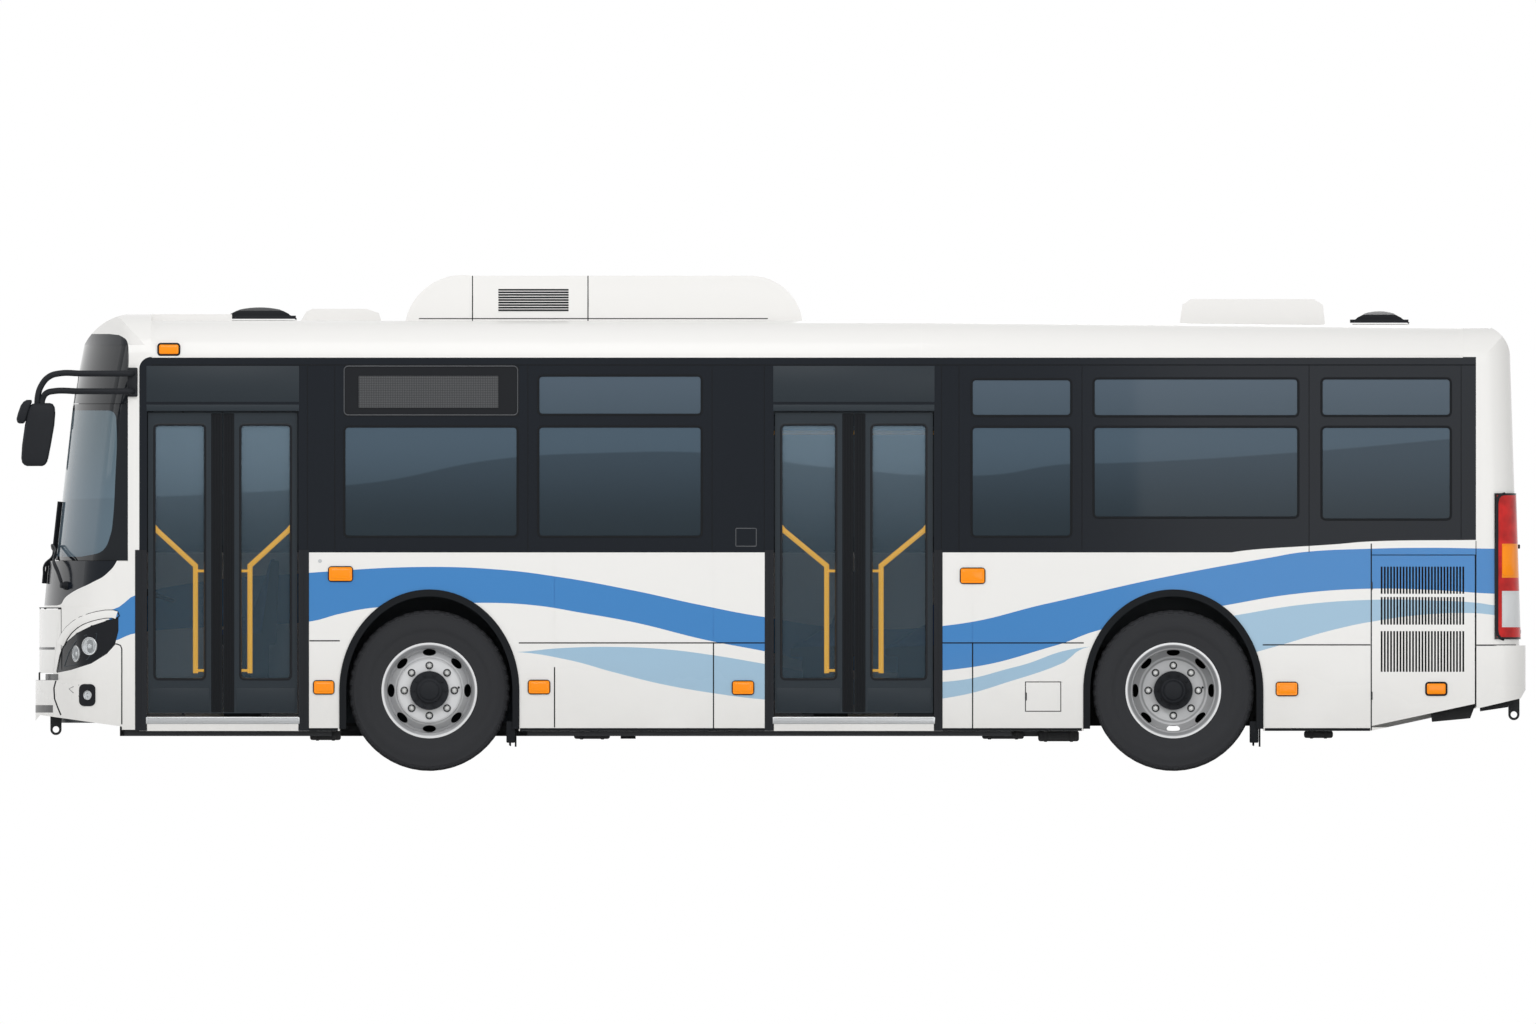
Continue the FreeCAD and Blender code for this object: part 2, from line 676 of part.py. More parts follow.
# ---------------------------------------------------------------- side walls
# windows by rows: front x, rear x, sill above the waist, top below the cantrail
WINDOW_CURVE = 30.0
FULL_WINDOWS = (
    (-2839.0, -1683.0, 103.0, 461.0), (-1549.0, -459.0, 103.0, 461.0), (1332.0, 1998.0, 103.0, 463.0),
    (2143.0, 3508.0, 230.0, 463.0), (3659.0, 4522.0, 217.0, 463.0),
)
# vents by rows: front x, rear x, bottom and top below the cantrail
VENTS = (
    (-1549.0, -459.0, 386.0, 122.0), (1332.0, 1998.0, 394.0, 146.0),
    (2143.0, 3508.0, 396.0, 141.0), (3659.0, 4522.0, 394.0, 141.0),
)
RIGHT_FULL = FULL_WINDOWS + ((-4120.0, -3000.0, 47.0, 353.0), (-330.0, 1190.0, 103.0, 461.0))
RIGHT_VENTS = VENTS + ((-2839.0, -1683.0, 386.0, 122.0), (-330.0, 1190.0, 386.0, 122.0))
DISPLAY = (-2840.0, -1676.0, 395.0, 64.0)


def window_places(full, vents):
    """Front x, rear x, bottom z and top z of every window of one side."""
    places = [(x0, x1, WAIST + rise, CANT - drop) for x0, x1, rise, drop in full]
    return places + [(x0, x1, CANT - low, CANT - high) for x0, x1, low, high in vents]


LEFT_PLACES = window_places(FULL_WINDOWS, VENTS)
RIGHT_PLACES = window_places(RIGHT_FULL, RIGHT_VENTS)

# the two doorways: name, middle x, width of a leaf
DOORS = (
    ("front", size("front_door_mid"), size("front_leaf")),
    ("middle", size("middle_door_mid"), size("middle_leaf")),
)
POST = size("post_radius")
POST_SHIFT = size("post_offset")
LEAF_GAP = size("leaf_gap")


def door_cuts(low, high):
    """Cutters for one height range of a wall: the openings and their inner recesses."""
    cutters = []
    for name, middle, width in DOORS:
        reach = width + LEAF_GAP + GAP
        wide = width + LEAF_GAP + POST_SHIFT + POST + GAP
        deep = -HALF + 200
        cutters.append(block("Doorway", middle - reach, middle + reach, -HALF - 20, deep, low, high))
        cutters.append(block("Recess", middle - wide, middle + wide, -HALF + SKIN, deep, low, high + 45))
    return cutters


def band_cuts(places):
    return [rounded("WindowHole", WINDOW_CURVE, "y", x0, x1, -HALF - 20, -HALF + WALL + 20, z0, z1)
            for x0, x1, z0, z1 in places]


GLASS_INSET = 3.0


def panes(places):
    y0 = -HALF + GLASS_INSET
    y1 = y0 + size("glass")
    return [rounded("Pane", WINDOW_CURVE, "y", x0 + SEAM, x1 - SEAM, y0, y1, z0 + SEAM, z1 - SEAM)
            for x0, x1, z0, z1 in places]


band_block = block("BandBlock", BAND0, BAND1, -HALF, -HALF + WALL, WAIST, CANT)
display_hole = block("DisplayHole", DISPLAY[0], DISPLAY[1], -HALF - 20, -HALF + WALL + 20,
                     CANT - DISPLAY[2], CANT - DISPLAY[3])
left_cuts = band_cuts(LEFT_PLACES) + [display_hole] + door_cuts(WAIST - 50, size("door_head"))
without("left_window_band", band_block, *left_cuts)
twin("right_window_band", without("RightBand", band_block, *band_cuts(RIGHT_PLACES)))
grouped("windows", ready("RearGlass", rear_glass), *panes(LEFT_PLACES),
        twin("RightPanes", grouped("RightPaneSet", *panes(RIGHT_PLACES))))

# displays: the side box fills its opening; the front box hangs behind the sign glass
side_display = block("SideDisplay", DISPLAY[0] + SEAM, DISPLAY[1] - SEAM, -HALF + 6, -HALF + 110,
                     CANT - DISPLAY[2] + SEAM, CANT - DISPLAY[3] - SEAM)
front_display = block("FrontDisplay", -4425.0, -4325.0, -720.0, 720.0, 2500.0, 2790.0)
brackets = [block("DisplayBracket", -4345.0, -4325.0, y, y + 60, 2790.0, TOP - WALL - 43) for y in (-500.0, 440.0)]
grouped("displays", side_display, fused("HungDisplay", front_display, *brackets))

ARCH_A = size("arch_half")
ARCH_B = size("arch_rise")
TRIM = size("arch_trim")


def arch(name, hub, half, rise, y0, y1, low=200.0):
    """A half ellipse over the hub with straight legs down to `low`."""
    tall, wide = Vector(0, 0, rise), Vector(half, 0, 0)
    axes = (tall, wide) if rise >= half else (wide, tall)
    ellipse = Part.Ellipse(*axes, Vector(0, 0, 0))
    top = Part.Face(Part.Wire(ellipse.toShape())).extrude(Vector(0, y1 - y0, 0))
    top.translate(Vector(hub, y0, HUB))
    top = top.common(box(hub - half - 5, hub + half + 5, y0, y1, HUB, HUB + rise + 5))
    return ready(name, top.fuse(box(hub - half, hub + half, y0, y1, low, HUB)))


SIDE_DOOR = (3994.0, 4680.0, 296.0, WAIST - 20)
FLAP = (1695.0, 1924.0, 400.0, 589.0)


def grown(place, by):
    x0, x1, z0, z1 = place
    return (x0 - by, x1 + by, -HALF - 20, -HALF + 100, z0 - by, z1 + by)


# panel joints, as shallow grooves: vertical ones by x and height range, level ones by x range and z
GROOVE, GROOVE_DEPTH = 5.0, 2.5
UPRIGHT_JOINTS = (
    (-1443.0, SKIRT, WAIST), (-386.0, SKIRT, WAIST), (1337.0, SKIRT, WAIST), (3988.0, SKIRT, WAIST),
)
LEVEL_JOINTS = (
    (-3070.0, -2867.0, 862.0), (-1677.0, -38.0, 848.0), (1140.0, 2080.0, 848.0), (3270.0, 3986.0, 835.0),
)


def joints(depth):
    """Cutters for the joints between the body panels of one side."""
    y0, y1 = -HALF - 1, -HALF + depth
    upright = [block("Joint", x, x + GROOVE, y0, y1, z0 - 1, z1) for x, z0, z1 in UPRIGHT_JOINTS]
    return upright + [block("Joint", x0, x1, y0, y1, z, z + GROOVE) for x0, x1, z in LEVEL_JOINTS]


wall_block = block("WallBlock", BAND0, BAND1, -HALF, -HALF + WALL, SKIRT, WAIST)
arches = [arch("ArchHole", hub, ARCH_A, ARCH_B, -HALF - 20, -HALF + WALL + 20) for hub in (FRONT, REAR)]
wall = without("ArchedWall", wall_block, *arches, *joints(GROOVE_DEPTH))
lids = [block("LidHole", *grown(place, GAP)) for place in (SIDE_DOOR, FLAP)]
without("left_panels", wall, *lids, *door_cuts(size("sill_top"), WAIST + 50))
twin("right_panels", wall)


# the engine's side door: a panel with three rows of slots for the radiator
def drawn(body, name, rectangles):
    """A sketch of rectangles on the body's XZ plane, each bound to its values."""
    sketch = on_plane(body, name, "XZ_Plane")
    for x0, x1, z0, z1 in rectangles:
        polygon(sketch, ((x0, z0), (x1, z0), (x1, z1), (x0, z1)))
    return sketch


DOOR_THICK = 30.0
SLOT_ROWS = ((1180.0, 1357.0), (975.0, 1155.0), (661.0, 928.0))
SLOT_FIRST, SLOT_LAST, SLOT_WIDE, SLOT_COUNT = 4056.0, 4608.0, 9.0, 27
door_body = doc.addObject("PartDesign::Body", "SlottedDoor")
bind(door_body, "Placement.Base.y", -HALF + DOOR_THICK)
door_pad = door_body.newObject("PartDesign::Pad", "DoorPad")
door_pad.Profile = drawn(door_body, "DoorOutline", (SIDE_DOOR,))
door_pad.Length = DOOR_THICK
slots = door_body.newObject("PartDesign::Pocket", "DoorSlots")
first_slots = [(SLOT_FIRST, SLOT_FIRST + SLOT_WIDE, z0, z1) for z0, z1 in SLOT_ROWS]
slots.Profile = drawn(door_body, "SlotOutline", first_slots)
slots.Type = "ThroughAll"
slots.Reversed = True
row = door_body.newObject("PartDesign::LinearPattern", "SlotRow")
row.Originals = [slots]
row.Direction = (slots.Profile[0], ["H_Axis"])
row.Length = SLOT_LAST - SLOT_FIRST - SLOT_WIDE
row.Occurrences = SLOT_COUNT
door_body.Tip = row
doc.recompute()
if row.Shape.Volume > door_pad.Shape.Volume * 0.9:
    raise RuntimeError("the slots of the engine's side door cut nothing")
hinged("engine_side_door", door_body, "z", SIDE_DOOR[0], -HALF, 0.0, (500.0, 1230.0))
flap_plate = block("FlapPlate", FLAP[0], FLAP[1], -HALF, -HALF + 15, FLAP[2], FLAP[3])
hinged("fuel_flap", flap_plate, "z", FLAP[0], -HALF, 0.0, (495.0,))
grouped("hinges", *knuckles)

trims = []
for hub in (FRONT, REAR):
    lip = arch("TrimLip", hub, ARCH_A + 4, ARCH_B + 4, -HALF - 8, -HALF, SKIRT + 14)
    sleeve = arch("TrimSleeve", hub, ARCH_A - SEAM, ARCH_B - SEAM, -HALF, -HALF + WALL, SKIRT + 14)
    hollow = arch("TrimHollow", hub, ARCH_A - TRIM, ARCH_B - TRIM, -HALF - 30, -HALF + WALL + 30)
    trims += pair("Trim", without("ArchTrim", fused("TrimRing", lip, sleeve), hollow))
    behind = hub + ARCH_A - 27
    mud = block("MudFlap", behind, behind + 12, -HALF + 60, -HALF + 370, 161.0, SKIRT + 69)
    end = hub + HOUSE_HALF - HOUSE_SKIN - SEAM
    bracket = block("MudBracket", behind, end, -INSIDE + SEAM, -HALF + 370, SKIRT + 57, SKIRT + 69)
    trims += pair("Mud", fused("MudGuard", mud, bracket))
grouped("wheel_arch_trims", *trims)

# marker lamps on the left and right walls: x0, x1, z0, z1
MARKERS = (
    (-2939.0, -2786.0, 1265.0, 1355.0), (-3039.0, -2909.0, 515.0, 597.0), (-1611.0, -1474.0, 516.0, 600.0),
    (-254.0, -118.0, 512.0, 595.0), (1262.0, 1419.0, 1250.0, 1346.0), (3362.0, 3499.0, 504.0, 587.0),
)
DOOR_MARKER = (4355.0, 4493.0, 504.0, 587.0)
MARKER_DEEP, MARKER_CURVE = 14.0, 12.0


def marker(x0, x1, z0, z1):
    return rounded("Marker", MARKER_CURVE, "y", x0, x1, -HALF - MARKER_DEEP, -HALF, z0, z1)


markers = [twin("DoorMarker", marker(*DOOR_MARKER))]
for place in MARKERS:
    markers += pair("Lamp", marker(*place))
brow_lamp = rounded("ClearanceBlock", MARKER_CURVE, "y", -4074.0, -3935.0, -HALF - 4, -HALF + 60,
                    CANT + 15, CANT + 87)
roof_side = ready("RoofSide", section(ROOF0, LEVEL_TO, ROOF, 0))
markers += pair("Brow", without("ClearanceLamp", brow_lamp, roof_side))
grouped("marker_lamps", *markers)

# ---------------------------------------------------------------- doors
# Each doorway has two leaves that glide inwards. A leaf hangs at its middle from two arms on a
# post at the jamb; as the post turns, the leaf turns back about the arms' pins by the coupled angle.
RAIL = size("rail_radius")
THICK = size("leaf_thick")
PLANE = -HALF + size("leaf_inset")
LEAF_LOW, LEAF_HIGH = size("door_low"), size("door_high")
GLASS_IN, GLASS_OUT, GLASS_LOW, GLASS_DROP, GLASS_CURVE = 45.0, 116.0, 612.0, 83.0, 25.0
PIN, PIN_FIT, PIN_DEEP = 7.0, 0.4, 25.0
EYE_RADIUS, ARM_THICK, ARM_CLEAR = 14.0, 8.0, 8.0
RAIL_OFF = 58.0


def door_leaf(name, jamb, width):
    """A leaf from its jamb edge to its seal: frame, glass, grab rail and sockets for the pins."""
    y0, y1 = PLANE - THICK / 2, PLANE + THICK / 2
    inner, outer = jamb + GLASS_IN, jamb + width - GLASS_OUT
    top = LEAF_HIGH - GLASS_DROP
    frame = block(name + "Frame", jamb, jamb + width, y0, y1, LEAF_LOW, LEAF_HIGH)
    hole = rounded(name + "Opening", GLASS_CURVE, "y", inner, outer, y0 - 5, y1 + 5, GLASS_LOW, top)
    middle = jamb + (width - POST_SHIFT) / 2
    sockets = [rod(name + "Socket", "z", PIN + PIN_FIT, middle, PLANE, z, PIN_DEEP)
               for z in (LEAF_LOW, LEAF_HIGH - PIN_DEEP)]
    face = PLANE - 8
    glass = rounded(name + "Glass", GLASS_CURVE, "y", inner + SEAM, outer - SEAM, face, face + size("glass"),
                    GLASS_LOW + SEAM, top - SEAM)
    off = y1 + RAIL_OFF
    grip = outer - 62
    rail = tube([Vector(jamb + 28, y1, 1640), Vector(jamb + 60, off, 1600), Vector(grip, off, 1365),
                 Vector(grip, off, 650)], RAIL)
    stays = [bar(Vector(grip, off, z), Vector(outer + 18, y1, z), 9) for z in (668, 1330)]
    opened = without(name + "Cutout", frame, hole, *sockets)
    shell = fused(name + "Shell", opened, ready(name + "Rail", joined([rail] + stays)))
    return grouped(name, shell, glass)


def door_post(name, axis_x, width):
    """The post at the jamb, with a tapered arm below the leaf and one above it, each with its pin."""
    reach = (width + POST_SHIFT) / 2
    foot = FLOOR + 5
    parts = [rod(name + "Tube", "z", POST, axis_x, PLANE, foot, LEAF_HIGH + 22 - foot)]
    below = LEAF_LOW - ARM_CLEAR
    for z, pin in ((below - ARM_THICK, below), (LEAF_HIGH + ARM_CLEAR, LEAF_HIGH - 18)):
        end = axis_x + reach
        arm = ((axis_x, PLANE - POST + 2), (end, PLANE - EYE_RADIUS + 2), (end, PLANE + EYE_RADIUS - 2),
               (axis_x, PLANE + POST - 2))
        parts.append(outline(name + "Arm", "z", arm, z, z + ARM_THICK))
        parts.append(rod(name + "Eye", "z", EYE_RADIUS, end, PLANE, z, ARM_THICK))
        parts.append(rod(name + "Pin", "z", PIN, end, PLANE, pin, 26.0))
    return fused(name, *parts)


headers = []
for name, middle, width in DOORS:
    jamb = middle - width - LEAF_GAP
    spread = width + LEAF_GAP + POST_SHIFT
    bearing = LEAF_HIGH + 22 + SEAM
    under, over = bearing + 5, size("door_head") + 45
    x0, x1 = middle - spread - 23, middle + spread + 23
    posts = (middle - spread, middle + spread)
    shelf = block("Shelf", x0, x1, -HALF + SKIN, -HALF + 130, under, over)
    cover = block("Cover", x0, x1, -HALF + WALL, -HALF + 130, over, over + 130)
    cups = [rod("Bearing", "z", POST, x, PLANE, bearing, 5.0) for x in posts]
    headers.append(fused("Header", shelf, cover, *cups))
    headers += [rod("FootBearing", "z", POST, x, PLANE, FLOOR, 5 - SEAM) for x in posts]
    leaf = door_leaf("%s_door_front_leaf" % name, jamb, width)
    post = door_post("%s_door_front_post" % name, jamb - POST_SHIFT, width)
    flipped("%s_door_rear_leaf" % name, leaf, middle)
    flipped("%s_door_rear_post" % name, post, middle)
grouped("door_headers", *headers)

# ---------------------------------------------------------------- floor and cabin
RISER, TREAD = 20.0, 300.0
HALF_STEP = (FLOOR + UPPER) / 2


def plate(name, x0, x1, z0, z1):
    return block(name, x0, x1, -INSIDE, INSIDE, z0, z1)


HOUSE_IN, HOUSE_SLOPE, HOUSE_DROP = 560.0, 250.0, 330.0


def house(name, hub, low, grow):
    """A wheel house over one wheel: sloped at both ends, from the wall inwards."""
    reach = HOUSE_HALF + grow
    flat = reach - HOUSE_SLOPE
    shoulder, top = HOUSE_TOP - HOUSE_DROP, HOUSE_TOP + grow
    points = (
        (hub - reach, low), (hub - reach, shoulder), (hub - flat, top),
        (hub + flat, top), (hub + reach, shoulder), (hub + reach, low),
    )
    return outline(name, "y", points, -INSIDE, -HOUSE_IN + grow)


houses = []
rooms = []
for hub, low in ((FRONT, FLOOR - THIN), (REAR, UPPER - THIN)):
    whole = house("House", hub, low, 0)
    room = house("HouseRoom", hub, low - 200, -HOUSE_SKIN)
    rooms += pair("Outside", whole)
    houses += pair("Shell", without("HouseShell", whole, room))
taken = fused("HouseSpace", *rooms)
plates = [
    plate("LowFloor", CORNER_X, STEP, FLOOR - THIN, FLOOR),
    plate("FirstRiser", STEP, STEP + RISER, FLOOR - THIN, HALF_STEP - THIN),
    plate("Tread", STEP, STEP + TREAD + RISER, HALF_STEP - THIN, HALF_STEP),
    plate("SecondRiser", STEP + TREAD, STEP + TREAD + RISER, HALF_STEP, UPPER - THIN),
    plate("UpperFloor", STEP + TREAD, DECK + RISER, UPPER - THIN, UPPER),
    plate("DeckRiser", DECK, DECK + RISER, UPPER, DECK_TOP - THIN),
]
floors = [without("FloorPlate", item, taken) for item in plates]
nose_floor = nose(COWL_X, FLOOR - THIN, FLOOR, 0, 92)
floors.append(ready("NoseFloor", nose_floor.common(box(-5000, CORNER_X, -HALF, HALF, 0, HUB))))
floors.append(ready("RearDeck", tail(TAIL_X - 12, DECK_TOP - THIN, DECK_TOP, 0, WALL, DECK)))
grouped("floor", *floors, *houses)

# a seat facing the front, by its side outline: cushion, back and shell
SEAT = ((0, 0), (0, 60), (330, 75), (395, 560), (450, 560), (430, 0))
SEAT_HALF, SEAT_CURVE = 210.0, 18.0
LEG = (80.0, 380.0, 60.0)
seat_master = eased("SeatMaster", outline("SeatBlock", "y", SEAT, -SEAT_HALF, SEAT_HALF), SEAT_CURVE, "y")
doc.recompute()
SEAT_LEG = 400.0
# front edge x, floor z, pedestal height, rows of seat centres y
SEAT_ROWS = (
    (-2480, HOUSE_TOP, 0, (-880, 880)),
    (-1250, FLOOR, SEAT_LEG, (-980, -545, 545, 980)),
    (-560, FLOOR, SEAT_LEG, (545, 980)),
    (130, FLOOR, SEAT_LEG, (545, 980)),
    (760, FLOOR, SEAT_LEG, (545, 980)),
    (2560, HOUSE_TOP, 0, (-880, 880)),
    (3560, DECK_TOP, SEAT_LEG, (-980, -545, 545, 980)),
    (4300, DECK_TOP, SEAT_LEG, (-980, -545, 0, 545, 980)),
)


def seat(x, y, z, legs):
    """A copy of the seat at its place, on a pedestal where it has one."""
    body = seat_master.Shape.translated(Vector(x, y, z + legs))
    if not legs:
        return body
    front, rear, half = LEG
    return body.fuse(box(x + front, x + rear, y - half, y + half, z, z + legs + 1)).removeSplitter()


places = [(x, y, z, legs) for x, z, legs, centres in SEAT_ROWS for y in centres]
places.append((-3720, 700, FLOOR, 480))
ready("seats", Part.makeCompound([seat(*place) for place in places]))

DASH = ((-4800, 650), (-4800, 1330), (-4640, 1362), (-4490, 1230), (-4440, 1080), (-4420, 900), (-4420, 650))
within_nose = ready("InsideNose", nose(COWL_X, 500, 1500, 0, 92, -4000))
door_room = box(-5000, -4185, -HALF - 50, -640, 300, 1500).cut(nose(COWL_X, 300, 1500, 0, 260, -4000))
dash = shared("DashInNose", outline("DashBlock", "y", DASH, -INSIDE + 5, INSIDE - 5), within_nose)
dash = without("Dash", dash, ready("DoorRoom", door_room))
console = block("Console", -4420.0, -4300.0, 560.0, 840.0, FLOOR, 1100.0)
partition = block("Partition", -3130.0, -3110.0, 420.0, INSIDE - 5, FLOOR, 1900.0)


def lining(x):
    """Height of the roof's inner face."""
    share = max(x - LEVEL_TO, 0) / float(ROOF1 - LEVEL_TO)
    return ROOF - WALL - size("roof_drop") * share


# upright grab rails: x, y, bottom z
AISLE, RAIL_Z = 420.0, 2250.0
UPRIGHTS = (
    (-3020.0, -AISLE, FLOOR), (-1500.0, -AISLE, FLOOR), (-1500.0, AISLE, FLOOR), (-150.0, -AISLE, FLOOR),
    (-60.0, AISLE, FLOOR), (1230.0, -AISLE, FLOOR), (1230.0, AISLE, FLOOR), (3400.0, -AISLE, UPPER),
    (3400.0, AISLE, UPPER),
)
bars = [rod("Upright", "z", RAIL, x, y, z, lining(x) - SEAM - z) for x, y, z in UPRIGHTS]
for y, start in ((-AISLE, -3020.0), (AISLE, -1500.0)):
    bars.append(rod("CeilingRail", "x", 15.0, start, y, RAIL_Z, 3400.0 - start))
fused("grab_rails", *bars)

# ---------------------------------------------------------------- chassis
RAIL_IN, RAIL_OUT = 420.0, 480.0
BEAM = 60.0
SILL_OUT = INSIDE - 10
SPINE_FRONT, RISE_FRONT, RISE_BACK, SPINE_BACK = -4640.0, 1720.0, 1780.0, 4900.0
LOW0, LOW1 = size("rail_low"), size("rail_high")
HIGH0, HIGH1 = size("deck_beam_low"), size("deck_beam_high")
CROSS = (-4300.0, -3150.0, -1560.0, -300.0, 900.0, 1500.0)
SILLS = ((-4300.0, -2920.0), (-1620.0, 1600.0))
JACKS = (-1000.0, 1440.0)
ARM_X, LINK_Z = 92.0, 294.0

low_frame = [block("LowRail", SPINE_FRONT, RISE_BACK, y, y + BEAM, LOW0, LOW1) for y in (-RAIL_OUT, RAIL_IN)]
low_frame += [block("CrossMember", x, x + BEAM, -SILL_OUT, SILL_OUT, LOW0, LOW1) for x in CROSS]
for x0, x1 in SILLS:
    low_frame += [block("SideSill", x0, x1, y, y + BEAM, LOW0, LOW1) for y in (-SILL_OUT, SILL_OUT - BEAM)]
low_frame.append(block("NoseBeam", SPINE_FRONT - BEAM, SPINE_FRONT, -700.0, 700.0, LOW0, LOW1))
for x in JACKS:
    low_frame += [block("JackPad", x, x + 100, y - 20, y + 80, LOW0 - 18, LOW0) for y in (-RAIL_OUT, RAIL_IN)]
link_room = block("LinkRoom", FRONT + ARM_X - 44, FRONT + ARM_X + 24, -700.0, 700.0, LOW0 - 32, LINK_Z + 20)
risers = [block("Riser", RISE_FRONT, RISE_BACK, y, y + BEAM, LOW1, HIGH0) for y in (-RAIL_OUT, RAIL_IN)]
drops = [block("RearDrop", 4820.0, 4880.0, y, y + BEAM, 330.0, HIGH0) for y in (-RAIL_OUT, RAIL_IN)]
high_frame = [block("HighRail", RISE_FRONT, SPINE_BACK, y, y + BEAM, HIGH0, HIGH1)
              for y in (-RAIL_OUT, RAIL_IN)]
# beams across the upper rails: front x, rear x, half length
HIGH_BEAMS = (
    (1730.0, 1780.0, SILL_OUT), (3430.0, 3480.0, SILL_OUT), (3425.0, 3475.0, RAIL_OUT),
    (4720.0, 4780.0, SILL_OUT - 30), (4780.0, 4830.0, RAIL_OUT),
)
high_frame += [block("DeckBeam", x0, x1, -half, half, HIGH0 + 10, HIGH1) for x0, x1, half in HIGH_BEAMS]
grouped("chassis_frame", without("LowFrame", fused("LowMembers", *low_frame), link_room),
        fused("HighFrame", *high_frame), *risers, *drops)

tank = rounded("TankBody", 40, "x", 1620.0, 2015.0, -1120.0, -RAIL_OUT, 230.0, 560.0)
neck = rod("FillerNeck", "y", 20.0, (FLAP[0] + FLAP[1]) / 2, -INSIDE + 5, 495.0, INSIDE - 5 - 1100)
fused("tanks", tank, neck)

# the engine lies along the bus over the rear overhang, its gearbox towards the axle
GEARBOX = (3560.0, 3720.0, 190.0)
CRANKCASE = (GEARBOX[1] - 20, 4560.0, 300.0)
SUMP_LOW, SUMP_HIGH, ENGINE_HIGH = 420.0, 560.0, DECK_TOP - THIN - 20
CRANK_Z = 640.0
PULLEYS = ((110.0, 0.0, CRANK_Z), (60.0, 170.0, 800.0), (60.0, -170.0, 800.0))
SUMP = ((3820.0, SUMP_HIGH), (3900.0, SUMP_LOW), (4380.0, SUMP_LOW), (4500.0, SUMP_HIGH))
front, rear, half = CRANKCASE
crankcase = rounded("Crankcase", 30, "x", front, rear, -half, half, SUMP_HIGH - 1, ENGINE_HIGH - 120)
heads = rounded("Heads", 40, "x", front + 60, rear - 60, -200.0, 200.0, ENGINE_HIGH - 160, ENGINE_HIGH)
sump = outline("Sump", "y", SUMP, -180.0, 180.0)
gearbox = rod("Gearbox", "x", GEARBOX[2], GEARBOX[0], 0.0, CRANK_Z, GEARBOX[1] - GEARBOX[0])
pulleys = [rod("Pulley", "x", radius, rear - 5, y, z, 75.0) for radius, y, z in PULLEYS]
mounts = [block("EngineMount", x, x + 60, y, y + RAIL_IN - half + 10, HIGH0 + 20, HIGH0 + 60)
          for x in (3900.0, 4380.0) for y in (-RAIL_IN, half - 10)]
fused("engine", crankcase, heads, sump, gearbox, *pulleys, *mounts)

# ---------------------------------------------------------------- axles and steering
PIN_Y = size("king_pin")
KING_PIN, PIN_BORE = 22.0, 22.4
BEAM_LOW, BEAM_HIGH, FIST_LOW, FIST_HIGH = 175.0, 232.0, 405.0, 470.0
left_fist = ((-640.0, BEAM_LOW), (-640.0, BEAM_HIGH), (-PIN_Y + 80, FIST_HIGH), (-PIN_Y, FIST_HIGH),
             (-PIN_Y, FIST_LOW), (-PIN_Y + 55, FIST_LOW), (-700.0, BEAM_LOW))
arm = fused("BeamEnd", outline("BeamArm", "x", left_fist, FRONT - 38, FRONT + 38),
            rod("Fist", "z", 38.0, FRONT, -PIN_Y, FIST_LOW, FIST_HIGH - FIST_LOW))
end = without("BoredEnd", arm, rod("PinBore", "z", PIN_BORE, FRONT, -PIN_Y, FIST_LOW - 25, 200.0))
drop_beam = block("DropBeam", FRONT - 55, FRONT + 55, -640.0, 640.0, BEAM_LOW, BEAM_HIGH)
fused("front_axle", drop_beam, *pair("AxleEnd", end))

# the left knuckle: fork on the king pin, spindle, and arm to the tie rod
SPINDLE, REAR_SPINDLE, FIT = size("spindle"), size("rear_spindle"), size("running_fit")
outer = -PIN_Y - 64
knuckle = fused(
    "left_knuckle",
    rod("KingPin", "z", KING_PIN, FRONT, -PIN_Y, 380.0, 250.0),
    block("Fork", FRONT - 45, FRONT + 45, -PIN_Y - 60, -PIN_Y + 45, FIST_HIGH + 6, HUB + 105),
    rod("Spindle", "y", SPINDLE, FRONT, -PIN_Y - 205, HUB, 165.0),
    block("LowerLug", FRONT - 40, FRONT + 40, outer, -PIN_Y + 16, 340.0, FIST_LOW - 6),
    block("Web", FRONT - 40, FRONT + 40, outer, outer + 20, 340.0, HUB + 105),
    block("SteeringArm", FRONT - 20, FRONT + ARM_X, -PIN_Y - 16, -PIN_Y + 16, LINK_Z + 19, LINK_Z + 36),
    block("ArmRoot", FRONT - 40, FRONT + 40, -PIN_Y - 16, -PIN_Y + 16, LINK_Z + 30, 345.0),
    rod("ArmEye", "z", 16.0, FRONT + ARM_X, -PIN_Y, LINK_Z + 19, 17.0),
    rod("BallPin", "z", 8.0, FRONT + ARM_X, -PIN_Y, LINK_Z - 12, 35.0),
)
twin("right_knuckle", knuckle)
eye = rod("LinkEye", "z", 16.0, FRONT + ARM_X, -PIN_Y, LINK_Z - 14, 28.0)
socket = rod("LinkBore", "z", 8.4, FRONT + ARM_X, -PIN_Y, LINK_Z - 30, 60.0)
link = rod("LinkBar", "y", 13.0, FRONT + ARM_X, -PIN_Y + 12, LINK_Z, PIN_Y * 2 - 24)
without("tie_rod", fused("Link", link, *pair("Eye", eye)), *pair("Bore", socket))

# steering wheel and column, drawn about +z and tilted onto the column's axis
WHEEL_RADIUS, WHEEL_GRIP, SPOKE = 215.0, 15.0, 10.0
TILT = FreeCAD.Placement(Vector(-4180, 700, 1205), Rotation(Vector(0, 1, 0), 20))
ring = doc.addObject("Part::Torus", "WheelRing")
ring.Radius1 = WHEEL_RADIUS
ring.Radius2 = WHEEL_GRIP
spokes = []
for turn in (90, 210, 330):
    angle = math.radians(turn)
    rim_point = Vector(WHEEL_RADIUS * math.cos(angle), WHEEL_RADIUS * math.sin(angle), 0)
    spokes.append(ready("Spoke", bar(Vector(0, 0, -20), rim_point, SPOKE)))
steering = fused("steering_wheel", ring, rod("Boss", "z", 45.0, 0.0, 0.0, -40.0, 40.0),
                 rod("Shaft", "z", 16.0, 0.0, 0.0, -220.0, 200.0), *spokes)
